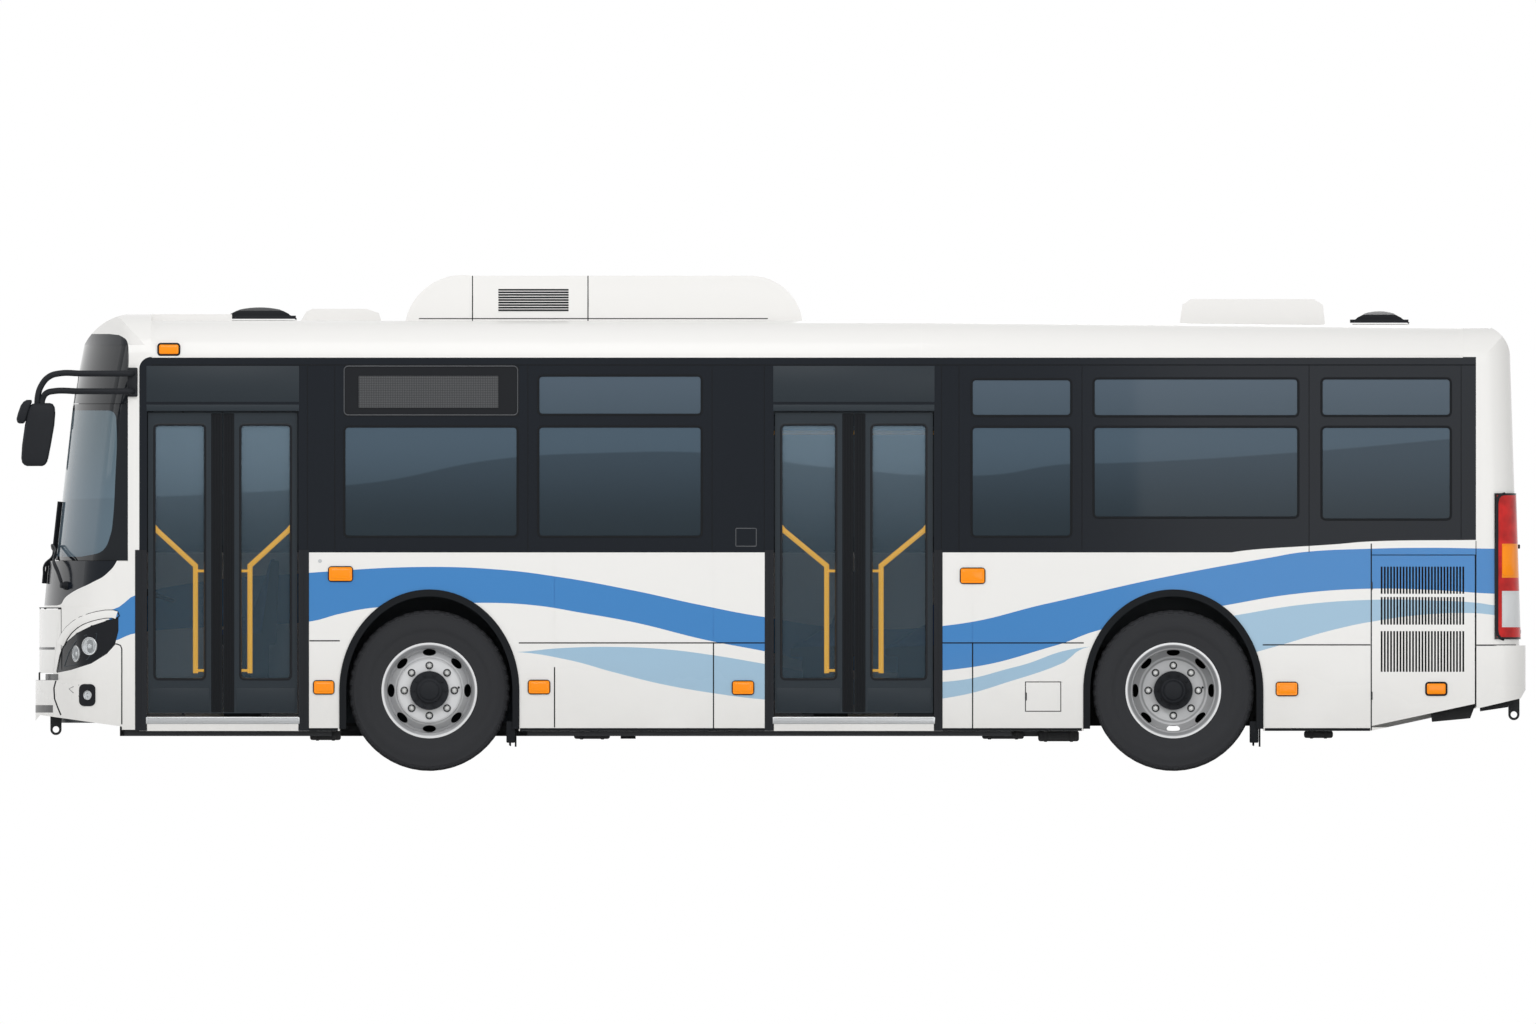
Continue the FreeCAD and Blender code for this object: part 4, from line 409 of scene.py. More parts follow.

# %% [markdown]
# ## Glass
#
# Bus glass is tinted so dark that it shows the sky more than the seats. A painted
# reflection of the sky makes each pane lighter high up and darker low down, and a soft,
# curved horizon of painted shade runs through all the panes, where the street opposite
# would be mirrored. Both go by the place on the bus, so they stay put from any side.

# %% The tint of the panes, and their painted reflections
# painted reflection: the far houses that side glass would mirror are painted dark under this line: place along
# the bus, height
HORIZON = ((-5.0, 1.8), (-2.84, 1.9), (-1.68, 2.09), (-1.2, 2.115), (-0.47, 2.12), (0.4, 2.02), (1.33, 1.965),
           (2.0, 2.045), (2.3, 2.05), (3.49, 2.12), (4.52, 2.21), (5.0, 2.25))
tint_and_reflection, given, made = new_group(
    "glass_tint_and_reflection", {"Upper": (0.1, 0.1, 0.1, 1), "Lower": (0.05, 0.05, 0.05, 1), "Low": 1.5, "High": 2.3,
                   "Horizon": 0.25}, "Colour")
x, _, z = placed(tint_and_reflection)
# painted reflection of the sky: each pane lighter high up, darker low down
rise = node(tint_and_reflection, "MapRange", {"Value": z, "From Min": given["Low"], "From Max": given["High"]},
            interpolation_type="SMOOTHSTEP")
graded = mixed(Wire(rise.outputs[0]), given["Lower"], given["Upper"])
# painted reflection of the street: darker under the horizon line
under = node(tint_and_reflection, "MapRange", {"Value": x.curve(HORIZON, ALONG, (1.5, 2.5)) - z, "From Min": -0.004,
                                "From Max": 0.008})
feed(made["Colour"], mixed(Wire(under.outputs[0]) * given["Horizon"], graded, (0, 0, 0, 1)))

# %% [markdown]
# ## Finishes
#
# Each finish is named for what a maker would order: white body paint, black band, tinted
# glass, tyre rubber, wheel silver. The paints share the spray ripple and the road film,
# the plastics share the grain, and only the numbers differ.

# %% Paints
BAND_BLACK = shade(21, 26, 33)
# the lower edge of the black band rises towards the tail: x, z
BAND_FOOT = ((-5.0, 1.3), (3.0, 1.3), (3.046, 1.45), (3.784, 1.51), (3.983, 1.526), (4.688, 1.536), (5.0, 1.54))
BAND_CORNER = (-4.121, 2.673, 0.08)
# the black round the windscreen ends on this line: height, place along the bus
NOSE_EDGE = ((1.1, -4.75), (1.111, -4.719), (1.144, -4.7), (1.184, -4.652), (1.252, -4.517), (1.313, -4.416),
             (1.403, -4.347), (1.49, -4.32), (1.796, -4.306), (2.135, -4.296), (2.5, -4.283), (2.793, -4.272),
             (2.846, -4.278), (2.885, -4.31), (2.906, -4.4))
NOSE_SPAN = (1.1, 2.906)


# the louvred recess of the air conditioner: ends along the bus, heights, slats, depth of its face
LOUVRE = (-1.814, -1.345, 3.052, 3.205, 9, 0.8592)
COVER_JOINTS, FAN_PLACES, COVER_TOP = (-1.985, -1.217), (-1.6, -0.85, -0.25), 3.285
# rows of slots in the engine's side door, and the painted shade round each slot that makes it look wider
SLOT_ROWS = ((1.178, 1.359), (0.973, 1.157), (0.659, 0.93))
SLOT_START, SLOT_PITCH, SLOT_COUNT, SLOT_SHADE_SHARE = 4.0500575, 0.020885, 27, 0.29


def band_mask(x, y, z):
    """Over the rising edge, and inside the rounded top corner by the front pillar."""
    corner_x, corner_z, curve = BAND_CORNER
    apart = away((corner_x - x) | 0.0, (z - corner_z) | 0.0)
    return (z > x.curve(BAND_FOOT, ALONG, (1.0, 2.0))) * (apart < curve)


def nose_mask(x, y, z):
    """In front of the curved edge, between its foot and its top."""
    return (x < z.curve(NOSE_EDGE, NOSE_SPAN, (-4.8, -4.2))) * z.within(*NOSE_SPAN)


def bumper_mask(x, y, z):
    """The black air intake along the foot of the front bumper, and the slot over the bumper painted black as
    the shade in that gap.
    """
    return x.within(-5.0, -4.775) * z.within(0.388, 0.438) | x.within(-5.0, -4.74) * z.within(0.603, 0.647)


def cooler_mask(x, y, z):
    """The shadow behind each slat of the louvre, the seams of the cover and the fan grilles."""
    x0, x1, z0, z1, slats, face = LOUVRE
    dark = (z - z0).repeated((z1 - z0) / slats) > 0.36
    masks = [x.within(x0, x1) * z.within(z0, z1) * (abs(y) < face) * dark]
    masks += [x.within(joint - 0.0035, joint + 0.0035) for joint in COVER_JOINTS]
    for place in FAN_PLACES:
        out = away(x - place, y)
        masks.append((z > COVER_TOP) * (out < 0.22) * (out.repeated(0.022) > 0.32))
    return any_of(masks)


def slot_shade_mask(x, y, z):
    """Painted shade round the louvre slots, which makes each one look wider and darker."""
    near = abs((x - SLOT_START).repeated(SLOT_PITCH) - 0.5) < SLOT_SHADE_SHARE
    along = x.within(SLOT_START, SLOT_START + SLOT_COUNT * SLOT_PITCH)
    return near * along * any_of(z.within(*row) for row in SLOT_ROWS)


def painted(name, roughness=0.22, dirt=0.35, ribbons=True, black_where=None):
    """Gloss body paint, white or in the livery, and black wherever `black_where` is one."""
    material = finish(name, WHITE, roughness, Coat_Weight=0.3, Coat_Roughness=0.06, Specular_IOR_Level=0.16)
    colour = use(material, livery, Ground=WHITE) if ribbons else WHITE
    if black_where:
        black = black_where(*placed(material.node_tree))
        colour = mixed(black, colour, BAND_BLACK)
        feed(inputs_of(material)["Coat Weight"], black.between(0.3, 0.0))
    use(material, film, "Base Color", "Roughness", Colour=colour, Roughness=roughness, Amount=dirt, Reach=0.9)
    use(material, ripple, "Normal", Scale=260.0, Depth=0.012)
    return material


body_paint = painted("body_paint", ribbons=False)
roof_paint = painted("roof_paint", 0.35, 0.0, ribbons=False)
ribbon_paint = painted("ribbon_paint")
band_paint = painted("band_paint", 0.16, black_where=band_mask)
louvre_paint = painted("louvre_paint", 0.2, black_where=slot_shade_mask)
nose_paint = painted("nose_paint", 0.16, black_where=nose_mask)
bumper_paint = painted("bumper_paint", 0.2, black_where=bumper_mask)
cooler_paint = painted("cooler_paint", 0.35, black_where=cooler_mask)
print("paints", [one.name for one in bpy.data.materials])

# %% Glass, lamps, plastics and metals
def glass(name, upper, lower, low, high, horizon, see):
    """Tinted glass: its own tint and gloss under a painted reflection of sky and street, and a little of the
    cabin behind it.
    """
    material = finish(name, upper, 0.04, Alpha=see, Specular_IOR_Level=0.14)
    use(material, tint_and_reflection, "Base Color", Upper=upper, Lower=lower, Low=low, High=high, Horizon=horizon)
    return material


# painted reflection: each pane is lighter high up and darker under the horizon line; the door glass is lightest
side_glass = glass("side_glass", shade(73, 90, 104), shade(48, 61, 70), 1.55, 2.25, 0.35, 0.95)
vent_glass = glass("vent_glass", shade(78, 92, 105), shade(72, 86, 98), 2.35, 2.62, 0.0, 0.96)
door_glass = glass("door_glass", shade(132, 156, 174), shade(84, 104, 118), 1.3, 2.3, 0.3, 0.34)
screen_glass = glass("screen_glass", shade(100, 118, 128), shade(104, 124, 138), 1.6, 2.4, 0.12, 0.9)

# the clear part of the windscreen ends on this line: height, place along the bus
SCREEN_EDGE = ((1.405, -4.72), (1.43, -4.56), (1.47, -4.44), (1.572, -4.392), (1.676, -4.376), (1.935, -4.361),
               (2.32, -4.354), (2.37, -4.362), (2.397, -4.4))
SCREEN_SPAN = (1.405, 2.397)
SCREEN_FOOT = 1.425


x, _, z = placed(screen_glass.node_tree)
seen = (x < z.curve(SCREEN_EDGE, SCREEN_SPAN, (-4.9, -4.2))) * z.within(SCREEN_FOOT, SCREEN_SPAN[1])
tinted = inputs_of(screen_glass)["Base Color"].links[0].from_socket
feed(inputs_of(screen_glass)["Base Color"], mixed(seen, shade(30, 33, 37), tinted))
feed(inputs_of(screen_glass)["Alpha"], seen.between(1.0, 0.9))


def moulded(name, colour, roughness=0.55, scale=900.0, depth=0.05, **sockets):
    """Moulded plastic or rubber with a fine grain."""
    material = finish(name, colour, roughness, **sockets)
    use(material, grain, "Normal", Scale=scale, Depth=depth)
    return material


black_gloss = finish("black_gloss", shade(26, 28, 32), 0.18, Specular_IOR_Level=0.16)
use(black_gloss, ripple, "Normal", Scale=240.0, Depth=0.01)
black_plastic = moulded("black_plastic", shade(32, 34, 38), Specular_IOR_Level=0.15)
dark_panel = moulded("dark_panel", shade(42, 49, 55), 0.4, Specular_IOR_Level=0.16)
rubber = moulded("seal_rubber", shade(26, 28, 31), 0.75, 1400.0, 0.04, Specular_IOR_Level=0.12)
frame_paint = moulded("frame_paint", shade(38, 40, 43), 0.6, 300.0, 0.06, Metallic=0.3)
cast_iron = moulded("cast_iron", shade(70, 70, 72), 0.7, 500.0, 0.15, Metallic=0.6)
YELLOW = shade(244, 182, 18)
# painted light: the door rails glow, though they are no lamp, so they stay bright in the shade behind the door
# glass
glowing_rail_yellow = moulded("glowing_rail_yellow", YELLOW, 0.3, 200.0, 0.01, Coat_Weight=0.3, Emission_Color=YELLOW,
                        Emission_Strength=1.1)
cabin_yellow = moulded("cabin_yellow", YELLOW, 0.3, 200.0, 0.01, Coat_Weight=0.3)
aluminium = moulded("brushed_aluminium", shade(190, 192, 194), 0.38, 1200.0, 0.02, Metallic=0.85)
zinc = moulded("zinc_nuts", shade(200, 201, 200), 0.3, 900.0, 0.02, Metallic=0.8)
mirror = finish("mirror_face", shade(225, 228, 230), 0.02, Metallic=1.0)


def lens(name, colour, ribs=60.0, glow=0.0):
    """A ribbed lamp lens of coloured plastic."""
    return moulded(name, colour, 0.12, ribs, 0.5, Coat_Weight=0.15, Coat_Roughness=0.03, Specular_IOR_Level=0.2,
                   Emission_Color=colour, Emission_Strength=glow)


amber_lens = lens("amber_lens", shade(246, 140, 6), glow=0.12)
# painted light: the rear reflectors, which are no lamps, glow faintly through this lens
red_lens = lens("red_lens", shade(186, 16, 20), glow=0.05)
clear_lens = lens("clear_lens", shade(214, 216, 218), 90.0)
# heights of the amber and the clear lens in the tail lamp, its ends, and its edge along the bus
AMBER_BAND, CLEAR_BAND, TAIL_ENDS, TAIL_EDGE = (1.285, 1.511), (0.956, 1.197), (0.89, 1.833), 4.827
LENS_EDGE = 4.861
tail_lens = lens("tail_lens", shade(196, 18, 20), 20.0, 0.06)


# painted highlights: the red is lighter in soft random patches, and deeper between them
x, _, z = placed(tail_lens.node_tree)
painted_highlight_patches = node(tail_lens.node_tree, "TexNoise", {"Vector": spot_of(tail_lens.node_tree), "Scale": 11.0},
             noise_dimensions="3D")
colour = mixed(Wire(painted_highlight_patches.outputs["Fac"]), shade(120, 6, 10), shade(232, 40, 36))
for band, tone in ((AMBER_BAND, shade(242, 140, 14)), (CLEAR_BAND, shade(206, 208, 210))):
    colour = mixed(z.within(*band) * (x > LENS_EDGE), colour, tone)
colour = mixed(z.within(*TAIL_ENDS) * (x > TAIL_EDGE), shade(24, 20, 22), colour)
for socket in ("Base Color", "Emission Color"):
    feed(inputs_of(tail_lens)[socket], colour)
lens_cover = finish("lens_cover", shade(225, 230, 234), 0.03, Alpha=0.35, Specular_IOR_Level=0.5)
lamp_bowl = moulded("lamp_bowl", shade(205, 208, 210), 0.15, 60.0, 0.4, Metallic=0.9)

# the hubs of the front and the rear wheels: place along the bus; and their height
FRONT_HUB, REAR_HUB, HUB_HIGH = -2.272, 2.675, 0.535
# painted shade and highlights: how bright a wheel is painted at each radius: the hub, the stud ring, the dished
# ring with a painted highlight, the groove in painted shade, the lip with a painted highlight
RIM_PAINTED_LIGHT = ((0.0, 0.5), (0.125, 0.55), (0.14, 0.92), (0.2, 0.8), (0.213, 0.55), (0.219, 1.0), (0.227, 0.95),
             (0.233, 0.62), (0.27, 0.52), (0.281, 0.3), (0.287, 0.12), (0.299, 0.22), (0.304, 0.75),
             (0.31, 1.0), (0.33, 1.0))
# painted shade and highlights: the silver is darkened and lightened by the radius from the hub
rim_painted_light, given, made = new_group("rim_painted_light", {"Bright": (1, 1, 1, 1), "Shade": (0, 0, 0, 1)}, "Colour")
x, _, z = placed(rim_painted_light)
tone = away(x - (x < 0.0).between(REAR_HUB, FRONT_HUB), z - HUB_HIGH).curve(RIM_PAINTED_LIGHT, (0.0, 0.33), (0.0, 1.0))
feed(made["Colour"], mixed(tone, given["Shade"], given["Bright"]))
rim_silver = finish("rim_silver", shade(214, 215, 217), 0.34, Metallic=0.15, Coat_Weight=0.25)
silver_with_painted_light = use(rim_silver, rim_painted_light, Bright=shade(226, 227, 229), Shade=shade(96, 98, 102))
use(rim_silver, film, "Base Color", "Roughness", Colour=silver_with_painted_light, Roughness=0.34, Amount=0.25, Reach=1.0)
use(rim_silver, ripple, "Normal", Scale=160.0, Depth=0.05)
tyre_rubber = moulded("tyre_rubber", shade(46, 47, 50), 0.8, 700.0, 0.06, Specular_IOR_Level=0.25)

# %% [markdown]
# ## Dressing the frame
#
# A solid that has the right shape keeps it, and only gets its finish. Where one solid holds
# two materials, such as a door leaf with its pane and its yellow rail, the faces are
# sorted by where they are.

# %% Small finishes
# the black of the gauze, also painted on the cut edges of the slots as their shade
gauze_and_slot_shade = finish("gauze_and_slot_shade", shade(16, 17, 19), 0.8)
# a dark grey moulding, made lighter than the black band as a painted highlight along each bead
seam_black = moulded("seam_black", shade(58, 61, 66), 0.35, 500.0, 0.02)
lining = moulded("wheelhouse_lining", shade(20, 21, 23), 0.8, 90.0, 0.1)
plate_white = moulded("blank_plate", shade(226, 226, 222), 0.35, 700.0, 0.02)
seat_cloth = moulded("seat_cloth", shade(36, 72, 128), 0.85, 900.0, 0.25)

# the route display: rows of round dots, a pitch apart
led_board = moulded("led_board", shade(20, 22, 24), 0.4, 300.0, 0.02)
DOT_PITCH = 0.0115
x, _, z = placed(led_board.node_tree)
apart = away(x.repeated(DOT_PITCH) - 0.5, z.repeated(DOT_PITCH) - 0.5)
feed(inputs_of(led_board)["Base Color"], mixed(apart < 0.34, shade(24, 26, 28), shade(74, 76, 80)))

# %% Finishes of the frame's own pieces
def dress(name, *finishes, sort=None):
    """Gives a frame piece its finishes; `sort` picks one for each face by its centre."""
    data = nodes[name].data
    data.materials.clear()
    for one in finishes:
        data.materials.append(one)
    for polygon in data.polygons:
        polygon.material_index = int(sort(polygon.center, polygon.normal)) if sort else 0


def named(*words):
    """The frame's nodes whose names end with one of the words."""
    return [name for name in nodes if name.endswith(words)]


PLAIN = (
    (ribbon_paint, ("left_panels", "right_panels", "fuel_flap", "rear_cap")),
    (louvre_paint, ("engine_side_door",)),
    (body_paint, ("front_lid", "engine_door")),
    (roof_paint, ("roof", "roof_pods")),
    (cooler_paint, ("air_conditioner",)),
    (tail_lens, ("tail_lamps",)),
    (band_paint, ("left_window_band", "right_window_band")),
    (nose_paint, ("front_cap",)),
    (bumper_paint, ("bumpers",)),
    (black_gloss, ("headlamps", "displays")),
    (black_plastic, ("mirrors", "wipers", "driver_cab", "steering_wheel", "front_roof_hatch",
                     "rear_roof_hatch", "door_headers")),
    (rubber, ("wheel_arch_trims", "air_springs")),
    (amber_lens, ("marker_lamps",)),
    (frame_paint, ("chassis_frame", "front_axle", "rear_axle", "left_knuckle", "right_knuckle", "tie_rod",
                   "tanks", "tow_eyes", "hinges")),
    (cast_iron, ("engine",)),
    (cabin_yellow, ("grab_rails",)),
    (dark_panel, ("seats", "floor")),
)
for material, names in PLAIN:
    for name in names:
        dress(name, material)
for name in named("_post"):
    dress(name, black_plastic)
LEAVES = named("_leaf")

# edges between the finishes: window panes over this height open, doors show rails inside of
# this depth and glass in the pane's own faces, and wheels are black inside this radius
VENT_LOW, CAB_REAR, RAIL_DEPTH, HUB_RADIUS = 2.33, 4.8, -1.187, 0.1295


def door_sort(at, way):
    """Pane, rail or frame of a leaf, by the depth and place of a face."""
    if at.y > RAIL_DEPTH:
        return 2
    return -1.2141 < at.y < -1.2059 and 0.6125 < at.z < 2.3006 and abs(way.y) > 0.9


def rim_sort(at, way):
    """Black hub inside the wheel studs, silver outside."""
    return math.hypot(at.x - (FRONT_HUB if at.x < 0 else REAR_HUB), at.z - HUB_HIGH) < HUB_RADIUS


dress("windows", side_glass, vent_glass, sort=lambda at, way: at.z > VENT_LOW and at.x < CAB_REAR)
for name in LEAVES:
    dress(name, dark_panel, door_glass, glowing_rail_yellow, sort=door_sort)
for name in named("_rim", "_rims"):
    dress(name, rim_silver, black_plastic, sort=rim_sort)
dress("windscreen", screen_glass)

# %% [markdown]
# ## Finding places on the frame
#
# Trim is fitted to the bus, not drawn beside it. `boxes_of` gives the box of every separate
# solid in a node, such as each pane. `Skin` drops points onto a node's surface from one
# side, so that a lens or a seam follows the curve that it lies on.

# %% Places on the frame
WALL = -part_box("left_panels")[0].y
SIDES = (("door", -1), ("far", 1))


def copy_of(name):
    """An open mesh of a node's own faces, its split corners joined again."""
    mesh = bmesh.new()
    mesh.from_mesh(nodes[name].data)
    bmesh.ops.remove_doubles(mesh, verts=mesh.verts, dist=0.00001)
    return mesh


def boxes_of(name):
    """The lowest and highest corner of each separate solid in a node."""
    mesh = copy_of(name)
    left, found = set(mesh.verts), []
    while left:
        reached, island = [left.pop()], []
        while reached:
            vert = reached.pop()
            island.append(vert.co.copy())
            fresh = {edge.other_vert(vert) for edge in vert.link_edges} & left
            left -= fresh
            reached += fresh
        found.append([Vector([pick(co[axis] for co in island) for axis in range(3)]) for pick in (min, max)])
    mesh.free()
    return found


# where a point (a, b) is dropped from, and the way it goes
WAYS = {
    "door": (lambda a, b: (a, -3, b), (0, 1, 0)),
    "far": (lambda a, b: (a, 3, b), (0, -1, 0)),
    "nose": (lambda a, b: (-7, a, b), (1, 0, 0)),
    "tail": (lambda a, b: (7, a, b), (-1, 0, 0)),
    "roof": (lambda a, b: (a, b, 5), (0, 0, -1)),
}


class Skin:
    """The outside of one or more nodes, to lay pieces on."""

    def __init__(self, *names):
        verts, faces = [], []
        for name in names:
            data = nodes[name].data
            first = len(verts)
            verts += [vert.co.copy() for vert in data.vertices]
            faces += [[first + number for number in polygon.vertices] for polygon in data.polygons]
        self.tree = BVHTree.FromPolygons(verts, faces)

    def at(self, way, a, b):
        """The point of the surface under (a, b), and the direction that it faces."""
        start, run = Vector(WAYS[way][0](a, b)), Vector(WAYS[way][1])
        spot, facing, _, _ = self.tree.ray_cast(start, run)
        if spot is None:
            spot, facing, _, _ = self.tree.find_nearest(start + run * 1.75)
        return spot, facing if facing.dot(run) < 0 else -facing

    def over(self, way, a, b, height):
        """The point at a height over the surface."""
        spot, facing = self.at(way, a, b)
        return spot + facing * height


def rounded_loop(a0, a1, b0, b1, curve, steps=6):
    """Points round a rectangle with rounded corners."""
    corners = ((a1 - curve, b1 - curve, 0), (a0 + curve, b1 - curve, 90),
               (a0 + curve, b0 + curve, 180), (a1 - curve, b0 + curve, 270))
    loop = []
    for a, b, start in corners:
        for step in range(steps + 1):
            angle = math.radians(start + 90 * step / steps)
            loop.append((a + curve * math.cos(angle), b + curve * math.sin(angle)))
    return loop


def joined(mesh, rings, closed=False):
    """Faces between closed loops of points, and from the last to the first if `closed`."""
    made = [[mesh.verts.new(place) for place in ring] for ring in rings]
    for one, other in zip(made, made[1:] + made[:1] * closed):
        for corners in zip(one, one[1:] + one[:1], other[1:] + other[:1], other):
            mesh.faces.new(corners)
    return made


def loft(mesh, rings):
    """Closed loops of points joined one to the next, with both ends filled."""
    made = joined(mesh, rings)
    mesh.faces.new(list(reversed(made[0])))
    mesh.faces.new(made[-1])


def gasket(mesh, x0, x1, z0, z1, curve, side, section, plane=WALL):
    """A moulding round a rounded rectangle on a side: section points are (inwards, out of the plane)."""
    rings = []
    for inset, out in section:
        loop = rounded_loop(x0 + inset, x1 - inset, z0 + inset, z1 - inset, max(curve - inset, 0.002))
        rings.append([(x, side * (plane + out), z) for x, z in loop])
    joined(mesh, rings, closed=True)


def draped(mesh, skin, way, loop, lift=0.002, dome=0.0, rings=3, sink=0.004):
    """A lens or plate laid on a skin: a loop of places, its height, and how far it bulges."""
    middle = [sum(place[axis] for place in loop) / len(loop) for axis in (0, 1)]
    layers = [[skin.over(way, *place, -sink) for place in loop]]
    for share in [ring / rings for ring in range(rings, 0, -1)]:
        inner = [[m + (p - m) * share for m, p in zip(middle, place)] for place in loop]
        layers.append([skin.over(way, *place, lift + dome * (1 - share ** 2)) for place in inner])
    made = joined(mesh, layers)
    top = mesh.verts.new(skin.over(way, *middle, lift + dome))
    for one, other in zip(made[-1], made[-1][1:] + made[-1][:1]):
        mesh.faces.new((one, other, top))
    mesh.faces.new(list(reversed(made[0])))


def run_at(path, number):
    """The direction of a path at one of its points."""
    before, after = path[max(number - 1, 0)], path[min(number + 1, len(path) - 1)]
    return Vector((after[0] - before[0], after[1] - before[1])).normalized()


def bead(mesh, skin, way, path, wide=0.005, lift=0.0012):
    """A thin raised line laid on a skin along a path."""
    rows = []
    section = ((-1, -0.001), (-1, lift * 0.6), (0, lift), (1, lift * 0.6), (1, -0.001))
    for number, (a, b) in enumerate(path):
        run = run_at(path, number) * wide / 2
        rows.append([skin.over(way, a - run.y * across, b + run.x * across, height)
                     for across, height in section])
    made = joined(mesh, rows)
    mesh.faces.new(made[0])
    mesh.faces.new(made[-1][::-1])


def lines_on(name, slot, material, skin, paths, wide, lift):
    """A piece of beads that follow the same paths on both sides."""
    mesh = bmesh.new()
    for way, _ in SIDES:
        for path in paths:
            bead(mesh, skin, way, path, wide, lift)
    piece(name, mesh, ROOT, slot, material)


def row(first, step, count):
    """Evenly spaced places."""
    return [first + step * number for number in range(count)]


def on_wall(mesh, side, x0, x1, low, high, z0, z1, soft=0.001, segments=1):
    """A strip on a side of the bus, from one height over the panels to another."""
    slab(mesh, x0, x1, side * (WALL + low), side * (WALL + high), z0, z1, soft, segments)


ROOT = nodes["chassis_frame"]["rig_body"]
print("the body carries", ROOT, "and there are", len(boxes_of("windows")), "panes")

# %% [markdown]
# ## Window rubbers
#
# Bus panes are bonded from outside and finished with a rubber moulding that covers the
# gap. It is one extruded section pushed round the opening, so it is made that way here: a
# small section is swept round each pane's own rectangle.

# %% Mouldings round the panes
RUBBER_SECTION = ((-0.007, -0.001), (-0.0065, 0.0015), (-0.002, 0.0032), (0.004, 0.0028), (0.008, 0.0006),
                  (0.009, -0.0035))
PANE_CURVE = 0.03
mesh = bmesh.new()
for low, high in boxes_of("windows"):
    if high.x < CAB_REAR:
        gasket(mesh, low.x, high.x, low.z, high.z, PANE_CURVE, -1 if low.y < 0 else 1, RUBBER_SECTION)
piece("window_rubbers", mesh, ROOT, "rubber", rubber)

# lines in the black band where one bonded panel meets the next
BAND_JOINTS = (-3.083, -2.901, -1.617, -0.392, -0.045, 1.133, 1.25, 2.068, 3.578, 4.589)
BAND_LOW, BAND_LINE, BAND_TOP = 1.453, 2.7, 2.753
DOOR_GAPS = ((-4.158, -3.134), (0.01, 1.092))
mesh, gutters = bmesh.new(), bmesh.new()
for _, side in SIDES:
    for x in BAND_JOINTS:
        in_door = side < 0 and any(first < x < last for first, last in DOOR_GAPS)
        foot = 2.44 if in_door else BAND_LOW + (0.085 if x > 4 else 0.0)
        on_wall(mesh, side, x - 0.0025, x + 0.0025, -0.0012, 0.0012, foot, BAND_LINE, 0.0008)
    on_wall(mesh, side, -4.12, 4.688, -0.0016, 0.0016, BAND_LINE - 0.004, BAND_LINE + 0.004, 0.0012)
    # the rain gutter under the roof's edge
    on_wall(gutters, side, -4.119, 4.602, -0.003, 0.005, BAND_TOP - 0.005, BAND_TOP + 0.007, 0.003, 2)
piece("band_lines", mesh, ROOT, "black_trim", rubber)
piece("rain_gutters", gutters, ROOT, "white_paint", roof_paint)

# %% [markdown]
# ## Doors
#
# Each leaf closes against its neighbour with a thick rubber nose that gives way to a
# trapped hand. The nose is hollow and ribbed along its length. The glass sits in a rubber
# moulding on both faces, and a kick plate takes the knocks along the foot of the leaf.

# %% Door seals, glass mouldings and kick plates
SEAL_WIDE = 0.076
SEAL_RIBS = 3
DOOR_SECTION = ((-0.01, -0.001), (-0.009, 0.003), (-0.003, 0.0045), (0.004, 0.003), (0.006, -0.004))
KICK_TOP = 0.552
for name in LEAVES:
    (low, high), (glass_low, glass_high) = sorted(boxes_of(name), key=lambda box: -(box[1].x - box[0].x))
    outer, inner = low.y, low.y + 0.034
    front = name.endswith("front_leaf")
    edge, jamb, inward = (high.x, low.x, -1) if front else (low.x, high.x, 1)
    body = nodes[name]["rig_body"]
    mesh = bmesh.new()
    seal = sorted((edge, edge + inward * SEAL_WIDE))
    slab(mesh, *seal, outer - 0.003, inner + 0.003, low.z + 0.004, high.z - 0.004, 0.008, 3)
    for x in row(seal[0] + SEAL_WIDE / (SEAL_RIBS + 1), SEAL_WIDE / (SEAL_RIBS + 1), SEAL_RIBS):
        slab(mesh, x - 0.003, x + 0.003, outer - 0.0055, outer, low.z + 0.02, high.z - 0.02, 0.002)
    piece(name + "_seal", mesh, body, "rubber", rubber)
    mesh = bmesh.new()
    for plane, flip in ((-outer, 1), (-inner, -1)):
        section = [(inset, out * flip) for inset, out in DOOR_SECTION]
        gasket(mesh, glass_low.x, glass_high.x, glass_low.z, glass_high.z, 0.025, -1, section, plane)
    piece(name + "_moulding", mesh, body, "rubber", black_gloss)
    mesh = bmesh.new()
    first, last = sorted((edge + inward * (SEAL_WIDE + 0.012), jamb - inward * 0.012))
    slab(mesh, first, last, outer - 0.0022, outer + 0.001, low.z + 0.012, KICK_TOP, 0.0015, 2)
    piece(name + "_kick_plate", mesh, body, "dark_metal", dark_panel)
print("leaves trimmed", len(LEAVES))

# %% [markdown]
# ## Sills and headers of the doorways
#
# Below the leaves an aluminium strip with a ribbed tread covers the edge of the floor, and
# above them a dark cover plate hides the door gear. The strip is one extrusion, cut to
# the width of the doorway.

# %% Sills and header plates
SILL_LOW, SILL_HIGH = 0.312, 0.359
mesh, plates = bmesh.new(), bmesh.new()
for first, last in DOOR_GAPS:
    on_wall(mesh, -1, first, last, 0.003, -0.05, SILL_LOW, SILL_HIGH, 0.004, 3)
    for z in row(SILL_LOW + 0.009, 0.0095, 4):
        on_wall(mesh, -1, first + 0.01, last - 0.01, 0.0052, 0.0, z - 0.0016, z + 0.0016, 0.0012)
    on_wall(plates, -1, first + 0.004, last - 0.004, 0.002, -0.012, 2.454, 2.694, 0.003, 2)
    on_wall(plates, -1, first + 0.004, last - 0.004, 0.004, -0.01, 2.393, 2.437, 0.004, 3)
piece("door_sills", mesh, ROOT, "aluminium", aluminium)
piece("door_header_plates", plates, ROOT, "black_trim", dark_panel)

# %% [markdown]
# ## Tyres
#
# A tyre for a city bus has straight ribs with grooves between them, and a row of notches
# on each shoulder that lets water out. Its outline is turned about the axle, and every
# other shoulder face is then pushed in, which leaves the blocks standing.

